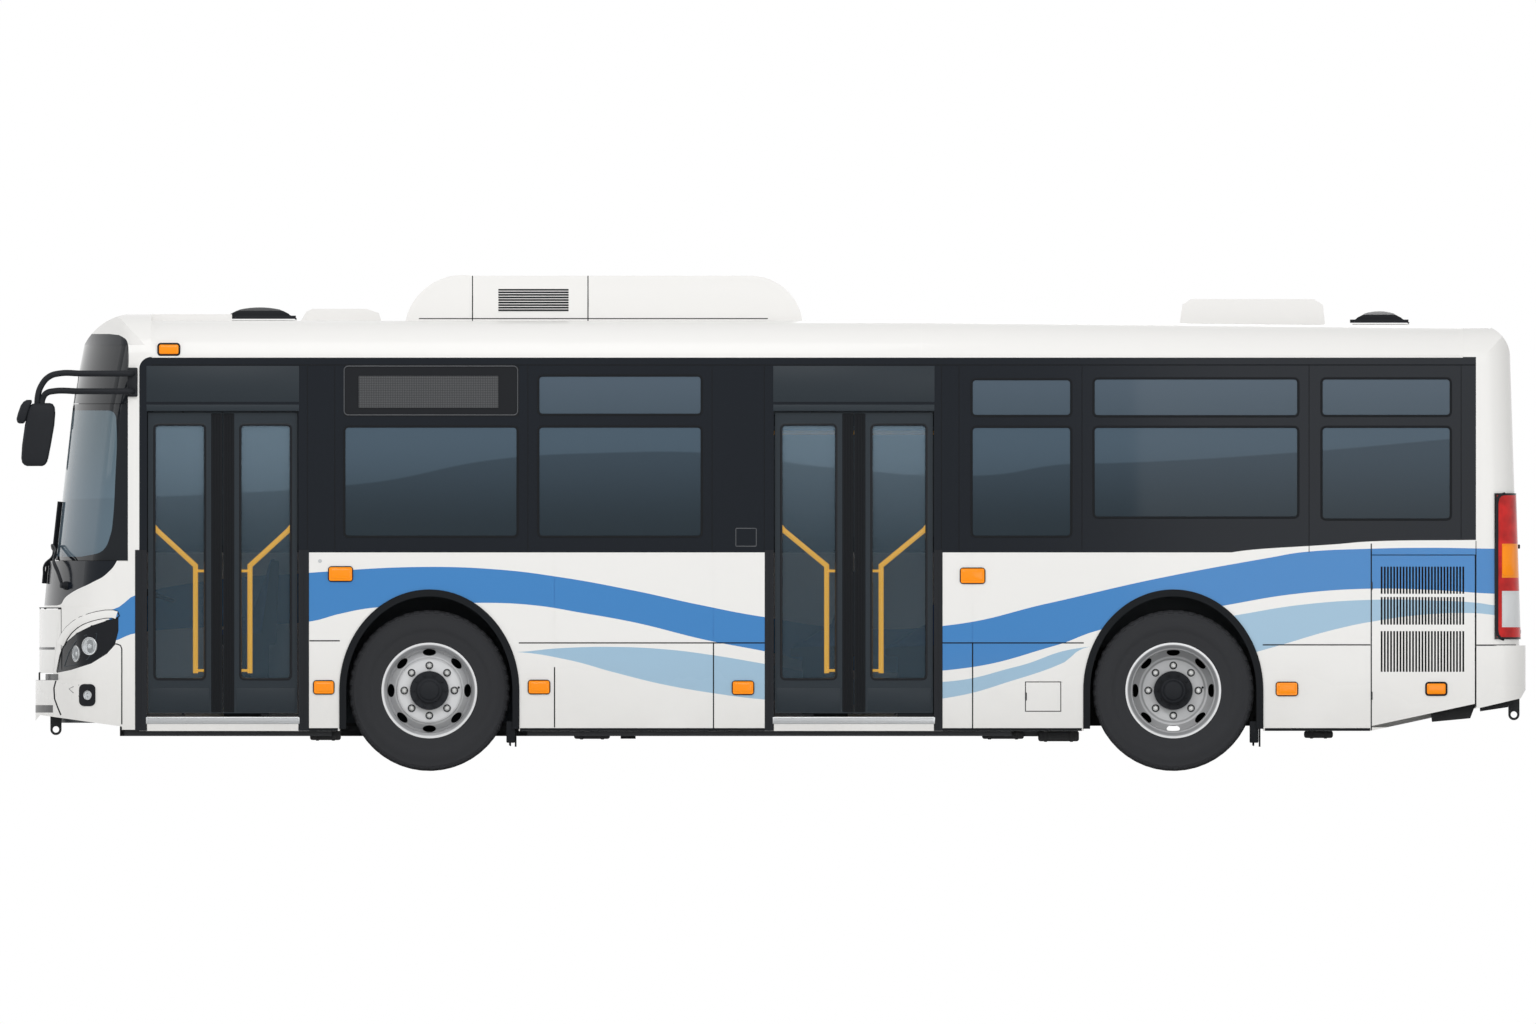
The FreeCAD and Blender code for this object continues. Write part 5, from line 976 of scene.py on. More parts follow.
# %% Tyres with tread
# half of the outline from the middle of the tread to the bead: (from the middle, radius)
TREAD = (
    (0.0, 0.5347), (0.018, 0.5347), (0.02, 0.521), (0.027, 0.521), (0.029, 0.5346), (0.066, 0.534),
    (0.068, 0.52), (0.075, 0.52), (0.077, 0.5335), (0.118, 0.531), (0.132, 0.522), (0.1365, 0.512),
    (0.14, 0.5), (0.1385, 0.496), (0.1445, 0.47), (0.145, 0.44), (0.142, 0.405), (0.1395, 0.402),
    (0.1375, 0.38), (0.131, 0.35), (0.1255, 0.3205), (0.1095, 0.3195), (0.1015, 0.2905),
)
TYRE_STEPS, NOTCH = 96, 0.006
AXLES = {"front": boxes_of("front_left_rim")[0], "rear": boxes_of("rear_left_rims")[0]}
HUB_AT = {name: ((low.x + high.x) / 2, (low.z + high.z) / 2) for name, (low, high) in AXLES.items()}


def tyre(mesh, axle, y):
    """One tyre on an axle, its middle at y."""
    x, z = HUB_AT[axle]
    before = set(mesh.faces)
    outline = [(-axial, radius) for axial, radius in reversed(TREAD)] + list(TREAD[1:])
    lathe(mesh, outline, (x, y, z), TYRE_STEPS)
    blocks = []
    for face in set(mesh.faces) - before:
        at = face.calc_center_median()
        turn = round((math.atan2(at.z - z, at.x - x) / math.tau) * TYRE_STEPS + 0.5)
        if 0.514 < math.hypot(at.x - x, at.z - z) < 0.529 and 0.112 < abs(at.y - y) and turn % 2:
            blocks.append(face)
    bmesh.ops.inset_individual(mesh, faces=blocks, thickness=0.002, depth=-NOTCH)


TYRES = named("_tyre", "_tyres")
for name in TYRES:
    mesh = bmesh.new()
    for low, high in boxes_of(name):
        tyre(mesh, name.split("_")[0], (low.y + high.y) / 2)
    made = piece(name + "_treaded", mesh, nodes[name]["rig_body"], "tyre", tyre_rubber, smooth=35)
    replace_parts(made, name)
print("tyres on", len(TYRES), "wheels")

# %% [markdown]
# ## Wheel nuts and hubs
#
# Eight nuts hold each disc. Every nut is six-sided with a chamfered top, sits on a loose
# washer that is dark as painted shade round the nut, and shows the end of its stud. The hub's
# cap has its own small bolts, and a valve stands in the dish. All of them are placed by
# turning one set round the axle.

# %% Nuts, hub bolts and valves
# rings of fittings: number, circle, and its stubs: how far out, radius, depth, sides, width of the top
NUTS = (8, 0.1665, ((0.002, 0.0195, 0.02, 6, 1.0), (0.022, 0.0188, 0.005, 6, 0.75),
                    (0.026, 0.01, 0.011, 16, 0.85)))
# painted shade: the washers are dark, as the shadow round each nut
SHADOW_WASHERS = (8, 0.1665, ((-0.002, 0.0265, 0.007, 24, 0.95),))
BOLTS = (10, 0.106, ((-0.002, 0.01, 0.009, 6, 1.0), (0.007, 0.0095, 0.002, 6, 0.75)))
VALVE = ((-0.002, 0.006, 0.02, 12, 0.9), (0.018, 0.0075, 0.014, 12, 0.85))
# the cap: a shallow dome with a lip, turned about the axle
CAP = ((0.0, 0.084), (0.008, 0.084), (0.013, 0.079), (0.015, 0.07), (0.026, 0.058), (0.031, 0.034),
       (0.032, 0.0005))


def stubs(mesh, spot, side, stack):
    """A stack of stubs that stand out of a wheel."""
    for start, radius, depth, sides, top in stack:
        knob(mesh, spot + Vector((0, side * start, 0)), (0, side, 0), radius, depth, sides, top)


def ring(skin, way, side, centre, count, circle, stack):
    """A mesh with a stack repeated round the hub, each one seated on the wheel's own face."""
    mesh = bmesh.new()
    for number in range(count):
        angle = math.tau * number / count
        spot, _ = skin.at(way, centre[0] + circle * math.cos(angle), centre[1] + circle * math.sin(angle))
        stubs(mesh, spot, side, stack)
    return mesh


for axle, (x, z) in HUB_AT.items():
    for word, (way, side) in zip(("left", "right"), SIDES):
        tag = axle + "_" + word
        wheel = next(one for one in nodes if one.startswith(tag + "_rim"))
        body, wheel_face = nodes[wheel]["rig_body"], (Skin(wheel), way, side, (x, z))
        piece(tag + "_nuts", ring(*wheel_face, *NUTS), body, "aluminium", zinc)
        piece(tag + "_shadow_washers", ring(*wheel_face, *SHADOW_WASHERS), body, "dark_metal", frame_paint)
        mesh = ring(*wheel_face, *BOLTS)
        cap = wheel_face[0].at(way, x + 0.07, z + 0.01)[0].y - side * 0.002
        lathe(mesh, [(side * out, radius) for out, radius in CAP], (x, cap, z))
        piece(tag + "_hub_cap", mesh, body, "black_trim", black_plastic)
        mesh = bmesh.new()
        stubs(mesh, wheel_face[0].at(way, x + 0.195, z + 0.02)[0], side, VALVE)
        piece(tag + "_valve", mesh, body, "rubber", rubber)
        print(wheel, "cap at", round(cap, 3))
print("nuts", 4 * NUTS[0], "hub bolts", 4 * BOLTS[0])

# %% [markdown]
# ## Lamps at the front
#
# Behind one dark cover sit two round lamps, each a bright bowl with a clear lens and a
# metal rim. They follow the curve of the nose, so each is turned to the direction in which
# the cover faces at its place. The fog lamp is a taller lens let into the bumper.

# %% Headlamps and fog lamps
# places of the lamps on the cover, and their radii: x, z, radius
HEAD_LAMPS = ((-4.531, 0.83, 0.06), (-4.62, 0.779, 0.055))
FOG = (-4.599, -4.492, 0.431, 0.578)
FOG_LAMP = (-4.541, 0.504, 0.031)
cover_skin = Skin("headlamps")
bumper_skin = Skin("bumpers")


# sections of a lamp's rim, bowl and lens: out of the cover, share of its radius
LAMP_SECTIONS = (
    ((-0.004, 1.0), (0.005, 1.0), (0.007, 0.95), (0.006, 0.88), (-0.002, 0.86)),
    ((0.001, 0.87), (-0.001, 0.6), (-0.0012, 0.3), (0.003, 0.18), (0.003, 0.0)),
    ((0.002, 0.86), (0.0065, 0.7), (0.009, 0.35), (0.0098, 0.0)),
)


def round_lamp(meshes, spot, facing, radius):
    """A rim, a bowl and a lens about the direction that the cover faces."""
    place = Matrix.Translation(spot) @ Vector((0, 1, 0)).rotation_difference(facing).to_matrix().to_4x4()
    for mesh, section in zip(meshes, LAMP_SECTIONS):
        part = bmesh.new()
        lathe(part, [(out, max(radius * share, 0.0005)) for out, share in section], (0, 0, 0), 40)
        part.transform(place)
        data = bpy.data.meshes.new("part")
        part.to_mesh(data)
        part.free()
        mesh.from_mesh(data)
        bpy.data.meshes.remove(data)


rims, bowls, lenses, fog_housings = (bmesh.new() for _ in range(4))
for way, side in SIDES:
    for x, z, radius in HEAD_LAMPS:
        spot, facing = cover_skin.at(way, x, z)
        round_lamp((rims, bowls, lenses), spot, facing, radius)
    draped(fog_housings, bumper_skin, way, rounded_loop(*FOG, 0.034), lift=0.004)
    spot, facing = bumper_skin.at(way, *FOG_LAMP[:2])
    round_lamp((rims, bowls, lenses), spot + facing * 0.005, facing, FOG_LAMP[2])
piece("headlamp_rims", rims, ROOT, "aluminium", aluminium)
piece("headlamp_bowls", bowls, ROOT, None, lamp_bowl)
piece("headlamp_lenses", lenses, ROOT, None, lens_cover)
piece("fog_lamp_housings", fog_housings, ROOT, "black_trim", black_gloss)

# a thin line of rubber round the headlamp cover, where it meets the white panel
COVER_EDGE = ((-4.339, 1.02), (-4.417, 1.0), (-4.519, 0.966), (-4.615, 0.918), (-4.702, 0.844),
              (-4.728, 0.77), (-4.75, 0.66))
panel_skin = Skin("headlamps", "front_cap", "bumpers", "front_lid")
lines_on("headlamp_seals", "rubber", rubber, panel_skin, [COVER_EDGE], 0.006, 0.0015)

# %% [markdown]
# ## Joints between the body panels
#
# The sides are skinned with separate panels, so that a dented one can be changed alone.
# The joint between two of them is filled with dark sealant. The frame has the grooves
# already, and the sealant is a thin strip that stands a little out of each one.

# %% Sealant in the joints
JOINT = 0.007
# upright joints by place and height range, level joints by range and height
UPRIGHT_JOINTS = ((-1.443, 0.29, 0.69), (-0.386, 0.268, 0.851), (1.337, 0.268, 0.851), (3.988, 0.27, 1.512))
LEVEL_JOINTS = ((-3.07, -2.867, 0.862), (-1.677, -0.038, 0.848), (1.14, 2.08, 0.848), (3.27, 3.986, 0.835))
mesh = bmesh.new()
for _, side in SIDES:
    for x, z0, z1 in UPRIGHT_JOINTS:
        on_wall(mesh, side, x - 0.0005, x + JOINT + 0.0005, -0.002, 0.0015, z0, z1, 0.0007)
    for x0, x1, z in LEVEL_JOINTS:
        on_wall(mesh, side, x0, x1, -0.002, 0.0015, z - 0.0005, z + JOINT + 0.0005, 0.0007)
    # where the side meets the rear cap
    on_wall(mesh, side, 4.6855, 4.6905, -0.002, 0.0015, 0.425, 1.53, 0.0007)
piece("panel_sealant", mesh, ROOT, "rubber", rubber)

# %% Lines of the rear cap and the bumpers
rear_skin = Skin("rear_cap", "bumpers")
nose_skin = Skin("front_cap", "bumpers", "front_lid", "headlamps")
BUMPER_LINE = 0.8365
SEAM_FRONT = ((-4.755, 0.6), (-4.768, 0.552), (-4.764, 0.48), (-4.742, 0.42), (-4.722, 0.372))
SEAM_CORNER = ((-4.392, 0.846), (-4.35, 0.844), (-4.326, 0.835), (-4.317, 0.812), (-4.317, 0.6), (-4.317, 0.31))
SEAM_LID = ((-0.857, 0.672), (-0.857, 0.8), (-0.857, 0.95), (-0.857, 1.083))
SEAM_TOP = [(y * 0.08575, 1.083) for y in range(-10, 11)]
mesh = bmesh.new()
for way, side in SIDES:
    bead(mesh, rear_skin, way, [(4.692 + number * 0.026, BUMPER_LINE) for number in range(11)], 0.009)
    bead(mesh, nose_skin, way, SEAM_FRONT, 0.009)
    bead(mesh, nose_skin, way, SEAM_CORNER, 0.008)
    bead(mesh, nose_skin, "nose", [(y * -side, z) for y, z in SEAM_LID], 0.009)
bead(mesh, nose_skin, "nose", SEAM_TOP, 0.009)
piece("cap_seams", mesh, ROOT, "rubber", rubber)

# %% [markdown]
# ## The brow over each headlamp
#
# A painted moulding runs over the headlamp's dark cover and ends in a round nose at its
# outer corner. It follows the curve of the cap, so it is laid on the skin as a flat bead,
# with a fine dark line on each side of it where it meets the cap and the cover.

# %% Headlamp brows
BROW = ((-4.724, 0.842), (-4.7, 0.892), (-4.668, 0.936), (-4.625, 0.974), (-4.582, 1.0), (-4.53, 1.02),
        (-4.478, 1.034), (-4.425, 1.043), (-4.38, 1.044), (-4.352, 1.036))
BROW_WIDE = 0.05


def beside(path, apart):
    """A path moved sideways by a distance."""
    runs = [run_at(path, number) for number in range(len(path))]
    return [(x - run.y * apart, z + run.x * apart) for (x, z), run in zip(path, runs)]


edges = [beside(BROW, apart) for apart in (-BROW_WIDE / 2, BROW_WIDE / 2)]
brow_end = [edges[1][-1], (-4.333, 1.03), edges[0][-1]]
lines_on("headlamp_brows", "white_paint", body_paint, nose_skin, [BROW], BROW_WIDE, 0.009)
lines_on("brow_lines", "rubber", rubber, nose_skin, edges + [brow_end], 0.009, 0.003)

BEZEL = ((-4.7, 0.694), (-4.668, 0.79), (-4.622, 0.862), (-4.56, 0.902), (-4.482, 0.916), (-4.5, 0.806),
         (-4.545, 0.742), (-4.62, 0.708), (-4.7, 0.694))
# painted shade: a dark line along the edge of the shallow recess beside the fog lamp, where its shade falls
RECESS_SHADE_LINE = ((-4.601, 0.572), (-4.64, 0.56), (-4.668, 0.546), (-4.64, 0.52), (-4.601, 0.497))
lines_on("headlamp_bezels", "black_trim", dark_panel, cover_skin, [BEZEL], 0.007, 0.003)
lines_on("fog_lamp_recess_shade_lines", "rubber", dark_panel, bumper_skin, [RECESS_SHADE_LINE], 0.004, 0.001)

# the grip slot across the front lid
mesh = bmesh.new()
bead(mesh, Skin("front_lid"), "nose", [(y, 0.815) for y in row(-0.8, 0.08, 21)], 0.016, 0.0016)
piece("front_lid_grip", mesh, nodes["front_lid"]["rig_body"], "black_trim", black_gloss)
print("nose trimmed")

# %% [markdown]
# ## Pipes
#
# Mirror arms and wiper arms are bent tube. A curve with a round bevel bends far more
# evenly than joined cylinders, so each pipe is drawn as a smooth curve through a few
# points, turned into a mesh, and added to the piece.

# %% Helper for pipes
def pipe(mesh, points, radius):
    """A bent tube through points, rounded at its corners."""
    curve = bpy.data.curves.new("pipe", "CURVE")
    curve.dimensions = "3D"
    curve.bevel_depth = radius
    curve.bevel_resolution = 4
    curve.use_fill_caps = True
    spline = curve.splines.new("BEZIER")
    spline.bezier_points.add(len(points) - 1)
    for spot, place in zip(spline.bezier_points, points):
        spot.co = place
        spot.handle_left_type = spot.handle_right_type = "AUTO"
    holder = bpy.data.objects.new("pipe", curve)
    data = bpy.data.meshes.new_from_object(holder)
    mesh.from_mesh(data)
    bpy.data.objects.remove(holder)
    bpy.data.curves.remove(curve)
    bpy.data.meshes.remove(data)


# %% [markdown]
# ## Mirrors
#
# Two tubes carry each mirror out in front of the windscreen. The housing leans back and is
# widest near its top, and a small wide-angle mirror hangs at its outer corner. Each
# housing is lofted through rounded slices from top to bottom, with its glass at the back.

# %% Mirrors on both sides
ARM_Y, ARM_RADIUS = WALL + 0.054, 0.0205
UPPER_ARM = ((-4.246, 2.643), (-4.4, 2.643), (-4.58, 2.643), (-4.735, 2.643), (-4.8, 2.622), (-4.851, 2.565),
             (-4.874, 2.5), (-4.88, 2.44))
LOWER_ARM = ((-4.246, 2.525), (-4.4, 2.525), (-4.6, 2.525), (-4.775, 2.525), (-4.818, 2.512), (-4.842, 2.478),
             (-4.85, 2.435))
# slices of the housing: height, front, rear, share of the full width
HEAD = ((2.447, -4.89, -4.796, 0.55), (2.441, -4.914, -4.776, 0.8), (2.42, -4.932, -4.763, 0.94),
        (2.38, -4.944, -4.759, 1.0), (2.3, -4.962, -4.765, 1.0), (2.165, -4.981, -4.789, 1.0),
        (2.08, -4.986, -4.806, 0.98), (2.05, -4.98, -4.816, 0.92), (2.035, -4.966, -4.828, 0.8),
        (2.027, -4.948, -4.845, 0.55))
SMALL = ((2.468, -4.95, -4.918, 0.5), (2.455, -4.972, -4.914, 0.85), (2.43, -4.99, -4.922, 1.0),
         (2.38, -5.008, -4.938, 1.0), (2.34, -5.018, -4.95, 1.0), (2.318, -5.012, -4.962, 0.8),
         (2.31, -4.998, -4.972, 0.5))
# slices, half width and offset of the large and the small mirror
MIRRORS = ((HEAD, 0.048, 0.022), (SMALL, 0.034, 0.02))
RIDGE, RIDGE_HIGH, RIDGE_WIDE = 0.42, 0.01, 0.08
# section of the mirror glass: behind the housing's rear edge, side
GLASS_SECTION = ((0.0015, -1), (0.0027, -1), (0.0027, 1), (0.0015, 1))


def slice_of(z, front, rear, y, half, side):
    """A rounded slice whose outer face has a ridge along it."""
    curve = min(rear - front, 2 * half) * 0.28
    loop = rounded_loop(front, rear, -half, half, curve, 4)
    ridge = front + (rear - front) * RIDGE
    return [(x, side * (y + out + RIDGE_HIGH * (out > 0) * max(0, 1 - abs(x - ridge) / RIDGE_WIDE)), z)
            for x, out in loop]


for _, side in SIDES:
    tag = "left" if side < 0 else "right"
    arms, housings, glasses = (bmesh.new() for _ in range(3))
    for path, end in ((UPPER_ARM, 0.02), (LOWER_ARM, 0.015)):
        x, z = path[0]
        route = [(x, WALL - 0.004, z), (x - 0.003, ARM_Y - 0.022, z), (x - 0.03, ARM_Y, z)]
        route += [(x, ARM_Y - (end if x < -4.84 else 0), z) for x, z in path[1:]]
        pipe(arms, [(x, side * y, z) for x, y, z in route], ARM_RADIUS)
    on_wall(arms, side, -4.281, -4.212, -0.002, 0.028, 2.488, 2.682, 0.01, 3)
    for z in (2.52, 2.65):
        knob(arms, (-4.246, side * (WALL + 0.026), z), (0, side, 0), 0.011, 0.006, 6)
    for slices, half, out in MIRRORS:
        loft(housings, [slice_of(z, front, rear, WALL + out, half * share, side)
                        for z, front, rear, share in slices])
        y = side * (WALL + 0.021)
        loft(glasses, [[(rear + behind, y + across * half * 0.8 * share, z) for behind, across in GLASS_SECTION]
                       for z, front, rear, share in slices if share > 0.9])
    made = piece(tag + "_mirror_arms", arms, ROOT, "black_trim", black_plastic)
    piece(tag + "_mirror_housings", housings, ROOT, "black_trim", black_plastic, smooth=50)
    piece(tag + "_mirror_glass", glasses, ROOT, "window_glass", mirror)
    if side < 0:
        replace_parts(made, "mirrors")
print("mirrors fitted")

# %% [markdown]
# ## Wipers
#
# Each wiper has a pivot at the corner of the cowl, a long arm that climbs over the glass,
# and an upright blade with a claw frame and a rubber lip. The places are found on the
# windscreen itself, at a fixed height over the glass, so arm and blade follow its curve.

# %% Wipers, parked
screen_skin = Skin("windscreen", "front_cap")
PIVOT = (0.83, 1.232)
# the arm: place across, height, height over the glass
WIPER_ARM = ((0.83, 1.236, 0.034), (0.78, 1.3, 0.046), (0.66, 1.38, 0.05), (0.48, 1.44, 0.05),
             (0.3, 1.476, 0.046), (0.17, 1.496, 0.04))
# the rubber lip's section: across, height over the glass
LIP = ((-0.007, 0.018), (0.007, 0.018), (0.007, 0.01), (0.0015, 0.009), (0.001, 0.001), (-0.001, 0.001),
       (-0.0015, 0.009), (-0.007, 0.01))
BLADE_Y, BLADE_HEIGHTS = 0.15, row(1.245, 0.0605, 10)


def over_glass(y, z, height):
    """The point at a height over the windscreen."""
    return screen_skin.over("nose", y, z, height)


arms, blades = bmesh.new(), bmesh.new()
for _, side in SIDES:
    pivot, facing = screen_skin.at("nose", side * PIVOT[0], PIVOT[1])
    knob(arms, pivot - facing * 0.004, facing, 0.03, 0.022, 24, 0.9)
    knob(arms, pivot + facing * 0.018, facing, 0.022, 0.026, 24, 0.8)
    route = [over_glass(side * y, z, height) for y, z, height in WIPER_ARM]
    pipe(arms, route, 0.01)
    pipe(arms, [spot + Vector((0, 0, 0.022)) for spot in route[:-1]] + route[-1:], 0.006)
    spine = [over_glass(side * BLADE_Y, z, 0.026) for z in BLADE_HEIGHTS]
    pipe(arms, spine, 0.009)
    for number in range(1, 9, 2):
        foot = over_glass(side * BLADE_Y, BLADE_HEIGHTS[number], 0.01)
        pipe(arms, [spine[number - 1], foot + Vector((-0.004, 0, -0.02)), foot], 0.0045)
    loft(blades, [[over_glass(side * BLADE_Y, z, height) + Vector((0, across, 0)) for across, height in LIP]
                  for z in BLADE_HEIGHTS])
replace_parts(piece("wiper_arms", arms, ROOT, "black_trim", black_plastic), "wipers")
piece("wiper_rubbers", blades, ROOT, "rubber", rubber)
print("wipers parked")

# %% [markdown]
# ## Side marker lamps
#
# Each amber marker is a small moulded lamp: a black rubber base with rounded corners, and
# a domed lens held inside it. One more marker sits on the engine's side door and swings
# with it.

# %% Marker lamps
BASE = ((-0.007, -0.002), (-0.007, 0.006), (-0.004, 0.009), (0.004, 0.009), (0.006, 0.007), (0.006, -0.002))


def marker(base, cover, x0, x1, z0, z1, side, plane):
    """One lamp: its rubber base, and a lens that swells towards its middle."""
    gasket(base, x0, x1, z0, z1, 0.016, side, BASE, plane)
    rings = []
    for inset, out in ((0.005, -0.001), (0.005, 0.01), (0.011, 0.015), (0.02, 0.017)):
        loop = rounded_loop(x0 + inset, x1 - inset, z0 + inset, z1 - inset, 0.012)
        rings.append([(x, side * (plane + out), z) for x, z in loop])
    loft(cover, rings)


bases, covers = bmesh.new(), bmesh.new()
for low, high in boxes_of("marker_lamps"):
    side = 1 if low.y > 0 else -1
    plane = min(abs(low.y), abs(high.y)) if abs(low.y) < 1.2 else WALL
    marker(bases, covers, low.x, high.x, low.z, high.z, side, plane)
piece("marker_lamp_bases", bases, ROOT, "rubber", rubber)
piece("marker_lamp_lenses", covers, ROOT, "orange_lens", amber_lens)
bases, covers = bmesh.new(), bmesh.new()
DOOR_BODY = nodes["engine_side_door"]["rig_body"]
marker(bases, covers, 4.357, 4.491, 0.506, 0.586, -1, WALL)
piece("engine_door_lamp_base", bases, DOOR_BODY, "rubber", rubber)
piece("engine_door_lamp_lens", covers, DOOR_BODY, "orange_lens", amber_lens)

# %% [markdown]
# ## The rising underside behind the rear axle
#
# On the bus the skirt climbs from the rear wheel to the bumper, which gives the overhang
# its ramp angle. The frame's panels are straight there. Their painted skins are therefore
# trimmed copies: each is the node's own mesh, cut along the sloping line and closed again.

# %% Skins trimmed along the rise
RISE_FOOT, RISE_END = Vector((3.985, 0.0, 0.266)), Vector((4.69, 0.0, 0.418))
RISE_RUN = (RISE_END - RISE_FOOT).normalized()
RISE_UP = Vector((-RISE_RUN.z, 0.0, RISE_RUN.x))


def cut_away(mesh, planes, unwanted):
    """Cuts a mesh along planes, drops the faces with unwanted centres, and closes it again."""
    for place, normal in planes:
        geometry = mesh.verts[:] + mesh.edges[:] + mesh.faces[:]
        bmesh.ops.bisect_plane(mesh, geom=geometry, dist=1e-6, plane_co=place, plane_no=normal)
    gone = [face for face in mesh.faces if unwanted(face.calc_center_median())]
    bmesh.ops.delete(mesh, geom=gone, context="FACES")
    bmesh.ops.holes_fill(mesh, edges=[edge for edge in mesh.edges if len(edge.link_faces) == 1], sides=0)
    print("faces cut away", len(gone))
    return mesh


def trimmed(name, new_name, raise_by, *finishes):
    """A copy of a frame piece, cut off below the rising line behind the rear axle."""
    upright, foot = RISE_FOOT + Vector((0.0005, 0, 0)), RISE_FOOT + RISE_UP * raise_by
    mesh = cut_away(copy_of(name), ((upright, (1, 0, 0)), (foot, RISE_UP)),
                    lambda at: at.x > upright.x and (at - foot).dot(RISE_UP) < 0)
    made = piece(new_name, mesh, nodes[name]["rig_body"], "white_paint", *finishes, smooth=4)
    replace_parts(made, name)
    return made


trimmed("left_panels", "left_panel_skins", 0.0, ribbon_paint)
trimmed("right_panels", "right_panel_skins", 0.0, ribbon_paint)
door_skin = trimmed("engine_side_door", "engine_side_door_skin", 0.03, louvre_paint, gauze_and_slot_shade)
# painted shade: the cut edges of the slots take the black of the gauze, as the shade inside each slot
for polygon in door_skin.data.polygons:
    at = polygon.center
    inside = 4.03 < at.x < 4.63 and 0.64 < at.z < 1.38 and at.y > -1.2495
    polygon.material_index = int(inside and abs(polygon.normal.y) < 0.5)

# %% [markdown]
# ## The frame's ends
#
# The nose and the tail are carried by short outriggers that stay inside the bumpers. The
# frame's own ends reach a little below them, so the frame is shown by a copy that is cut
# off there, and the towing lugs hang from longer necks behind the bumpers.

# %% Frame with short ends
NOSE_END, NOSE_HIGH, TAIL_END, TAIL_HIGH = -4.33, 0.34, 4.7, 0.47
mesh = cut_away(copy_of("chassis_frame"), (((NOSE_END, 0, 0), (1, 0, 0)), ((TAIL_END, 0, 0), (1, 0, 0)),
                                           ((0, 0, TAIL_HIGH), (0, 0, 1))),
                lambda at: (at.x < NOSE_END and at.z < NOSE_HIGH) or (at.x > TAIL_END and at.z < TAIL_HIGH))
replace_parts(piece("frame_members", mesh, ROOT, "dark_metal", frame_paint, smooth=20), "chassis_frame")

# %% [markdown]
# ## Towing eyes
#
# Each eye is a forged lug: a round end with the pin's bore and a neck that runs up to the
# frame. The frame has square plates there, so the lugs take their place, bore on bore.

# %% Lugs round the towing bores
LUG_RADIUS, BORE_RADIUS, LUG_STEPS = 0.0375, 0.0212, 48
# the front and the rear bore: place along the bus, top of the neck
FRONT_LUG, REAR_LUG = (-4.755, 0.372), (4.94, 0.52)
lugs = bmesh.new()
for low, high in boxes_of("tow_eyes"):
    bore_x, top = FRONT_LUG if low.x < 0 else REAR_LUG
    bore_z = (low.z + high.z) / 2
    outer, inner = [], []
    for turn in [math.tau * step / LUG_STEPS for step in range(LUG_STEPS)]:
        run, reach = Vector((math.cos(turn), math.sin(turn))), LUG_RADIUS
        # above the bore the lug runs up as a neck of its own width
        if run.y > 0:
            reach = min((top - bore_z) / max(run.y, 0.001), LUG_RADIUS / max(abs(run.x), 0.001))
        outer.append((bore_x + run.x * reach, bore_z + run.y * reach))
        inner.append((bore_x + run.x * BORE_RADIUS, bore_z + run.y * BORE_RADIUS))
    y0, y1 = low.y + 0.0005, high.y - 0.0005
    loops = ((y0, outer), (y1, outer), (y1, inner), (y0, inner))
    joined(lugs, [[(x, y, z) for x, z in loop] for y, loop in loops], closed=True)
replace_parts(piece("towing_lugs", lugs, ROOT, "dark_metal", frame_paint), "tow_eyes")

# %% [markdown]
# ## Door jambs and the skirt's lower edge
#
# A black moulding covers the body's edge on both sides of each door. A rubber strip is
# clipped over the lower edge of the side panels, where stones would chip the paint.

# %% Jambs and skirt strips
JAMBS = ((-4.229, -4.149), (-3.143, -3.072), (-0.042, 0.019), (1.083, 1.141))
mesh, strips = bmesh.new(), bmesh.new()
for x0, x1 in JAMBS:
    middle = (x0 + x1) / 2
    on_wall(mesh, -1, x0, x1, 0.0022, -0.002, 0.267, 1.47)
    on_wall(mesh, -1, middle - 0.003, middle + 0.003, 0.0034, 0.001, 0.267, 1.47)
SKIRTS = {-1: ((-3.072, -2.88), (-1.67, -0.042), (1.141, 2.066), (3.284, 3.984)),
          1: ((-4.29, -2.88), (-1.67, 2.066), (3.284, 3.984))}
for side, runs in SKIRTS.items():
    for x0, x1 in runs:
        on_wall(strips, side, x0, x1, -0.002, 0.002, 0.2665, 0.285)
piece("door_jambs", mesh, ROOT, "black_trim", black_plastic)
piece("skirt_strips", strips, ROOT, "rubber", rubber)

# %% [markdown]
# ## Louvres of the engine's side door
#
# The door is pressed with three rows of narrow slots. Behind them a dark gauze keeps
# leaves out of the radiator, and the cut edges of the slots are painted black as the shade
# inside them. The gauze is a thin corrugated sheet fixed to the inside of the door, and
# swings with it.

# %% Gauze behind the louvres
LOUVRES = ((1.172, 1.365), (0.967, 1.163), (0.653, 0.936))
mesh = bmesh.new()
for z0, z1 in LOUVRES:
    slab(mesh, 4.04, 4.624, -1.2185, -1.2135, z0, z1, 0.002)
    for x in row(4.052, 0.02, 29):
        slab(mesh, x - 0.002, x + 0.002, -1.2215, -1.218, z0 + 0.004, z1 - 0.004, 0.0008)
piece("louvre_gauze", mesh, DOOR_BODY, "black_trim", gauze_and_slot_shade)

# %% [markdown]
# ## Rear lamps
#
# A black moulded frame with rounded ends holds the three lenses of each rear lamp. The
# frame is laid on the lamp's own surface, and each lens bulges a little inside it.

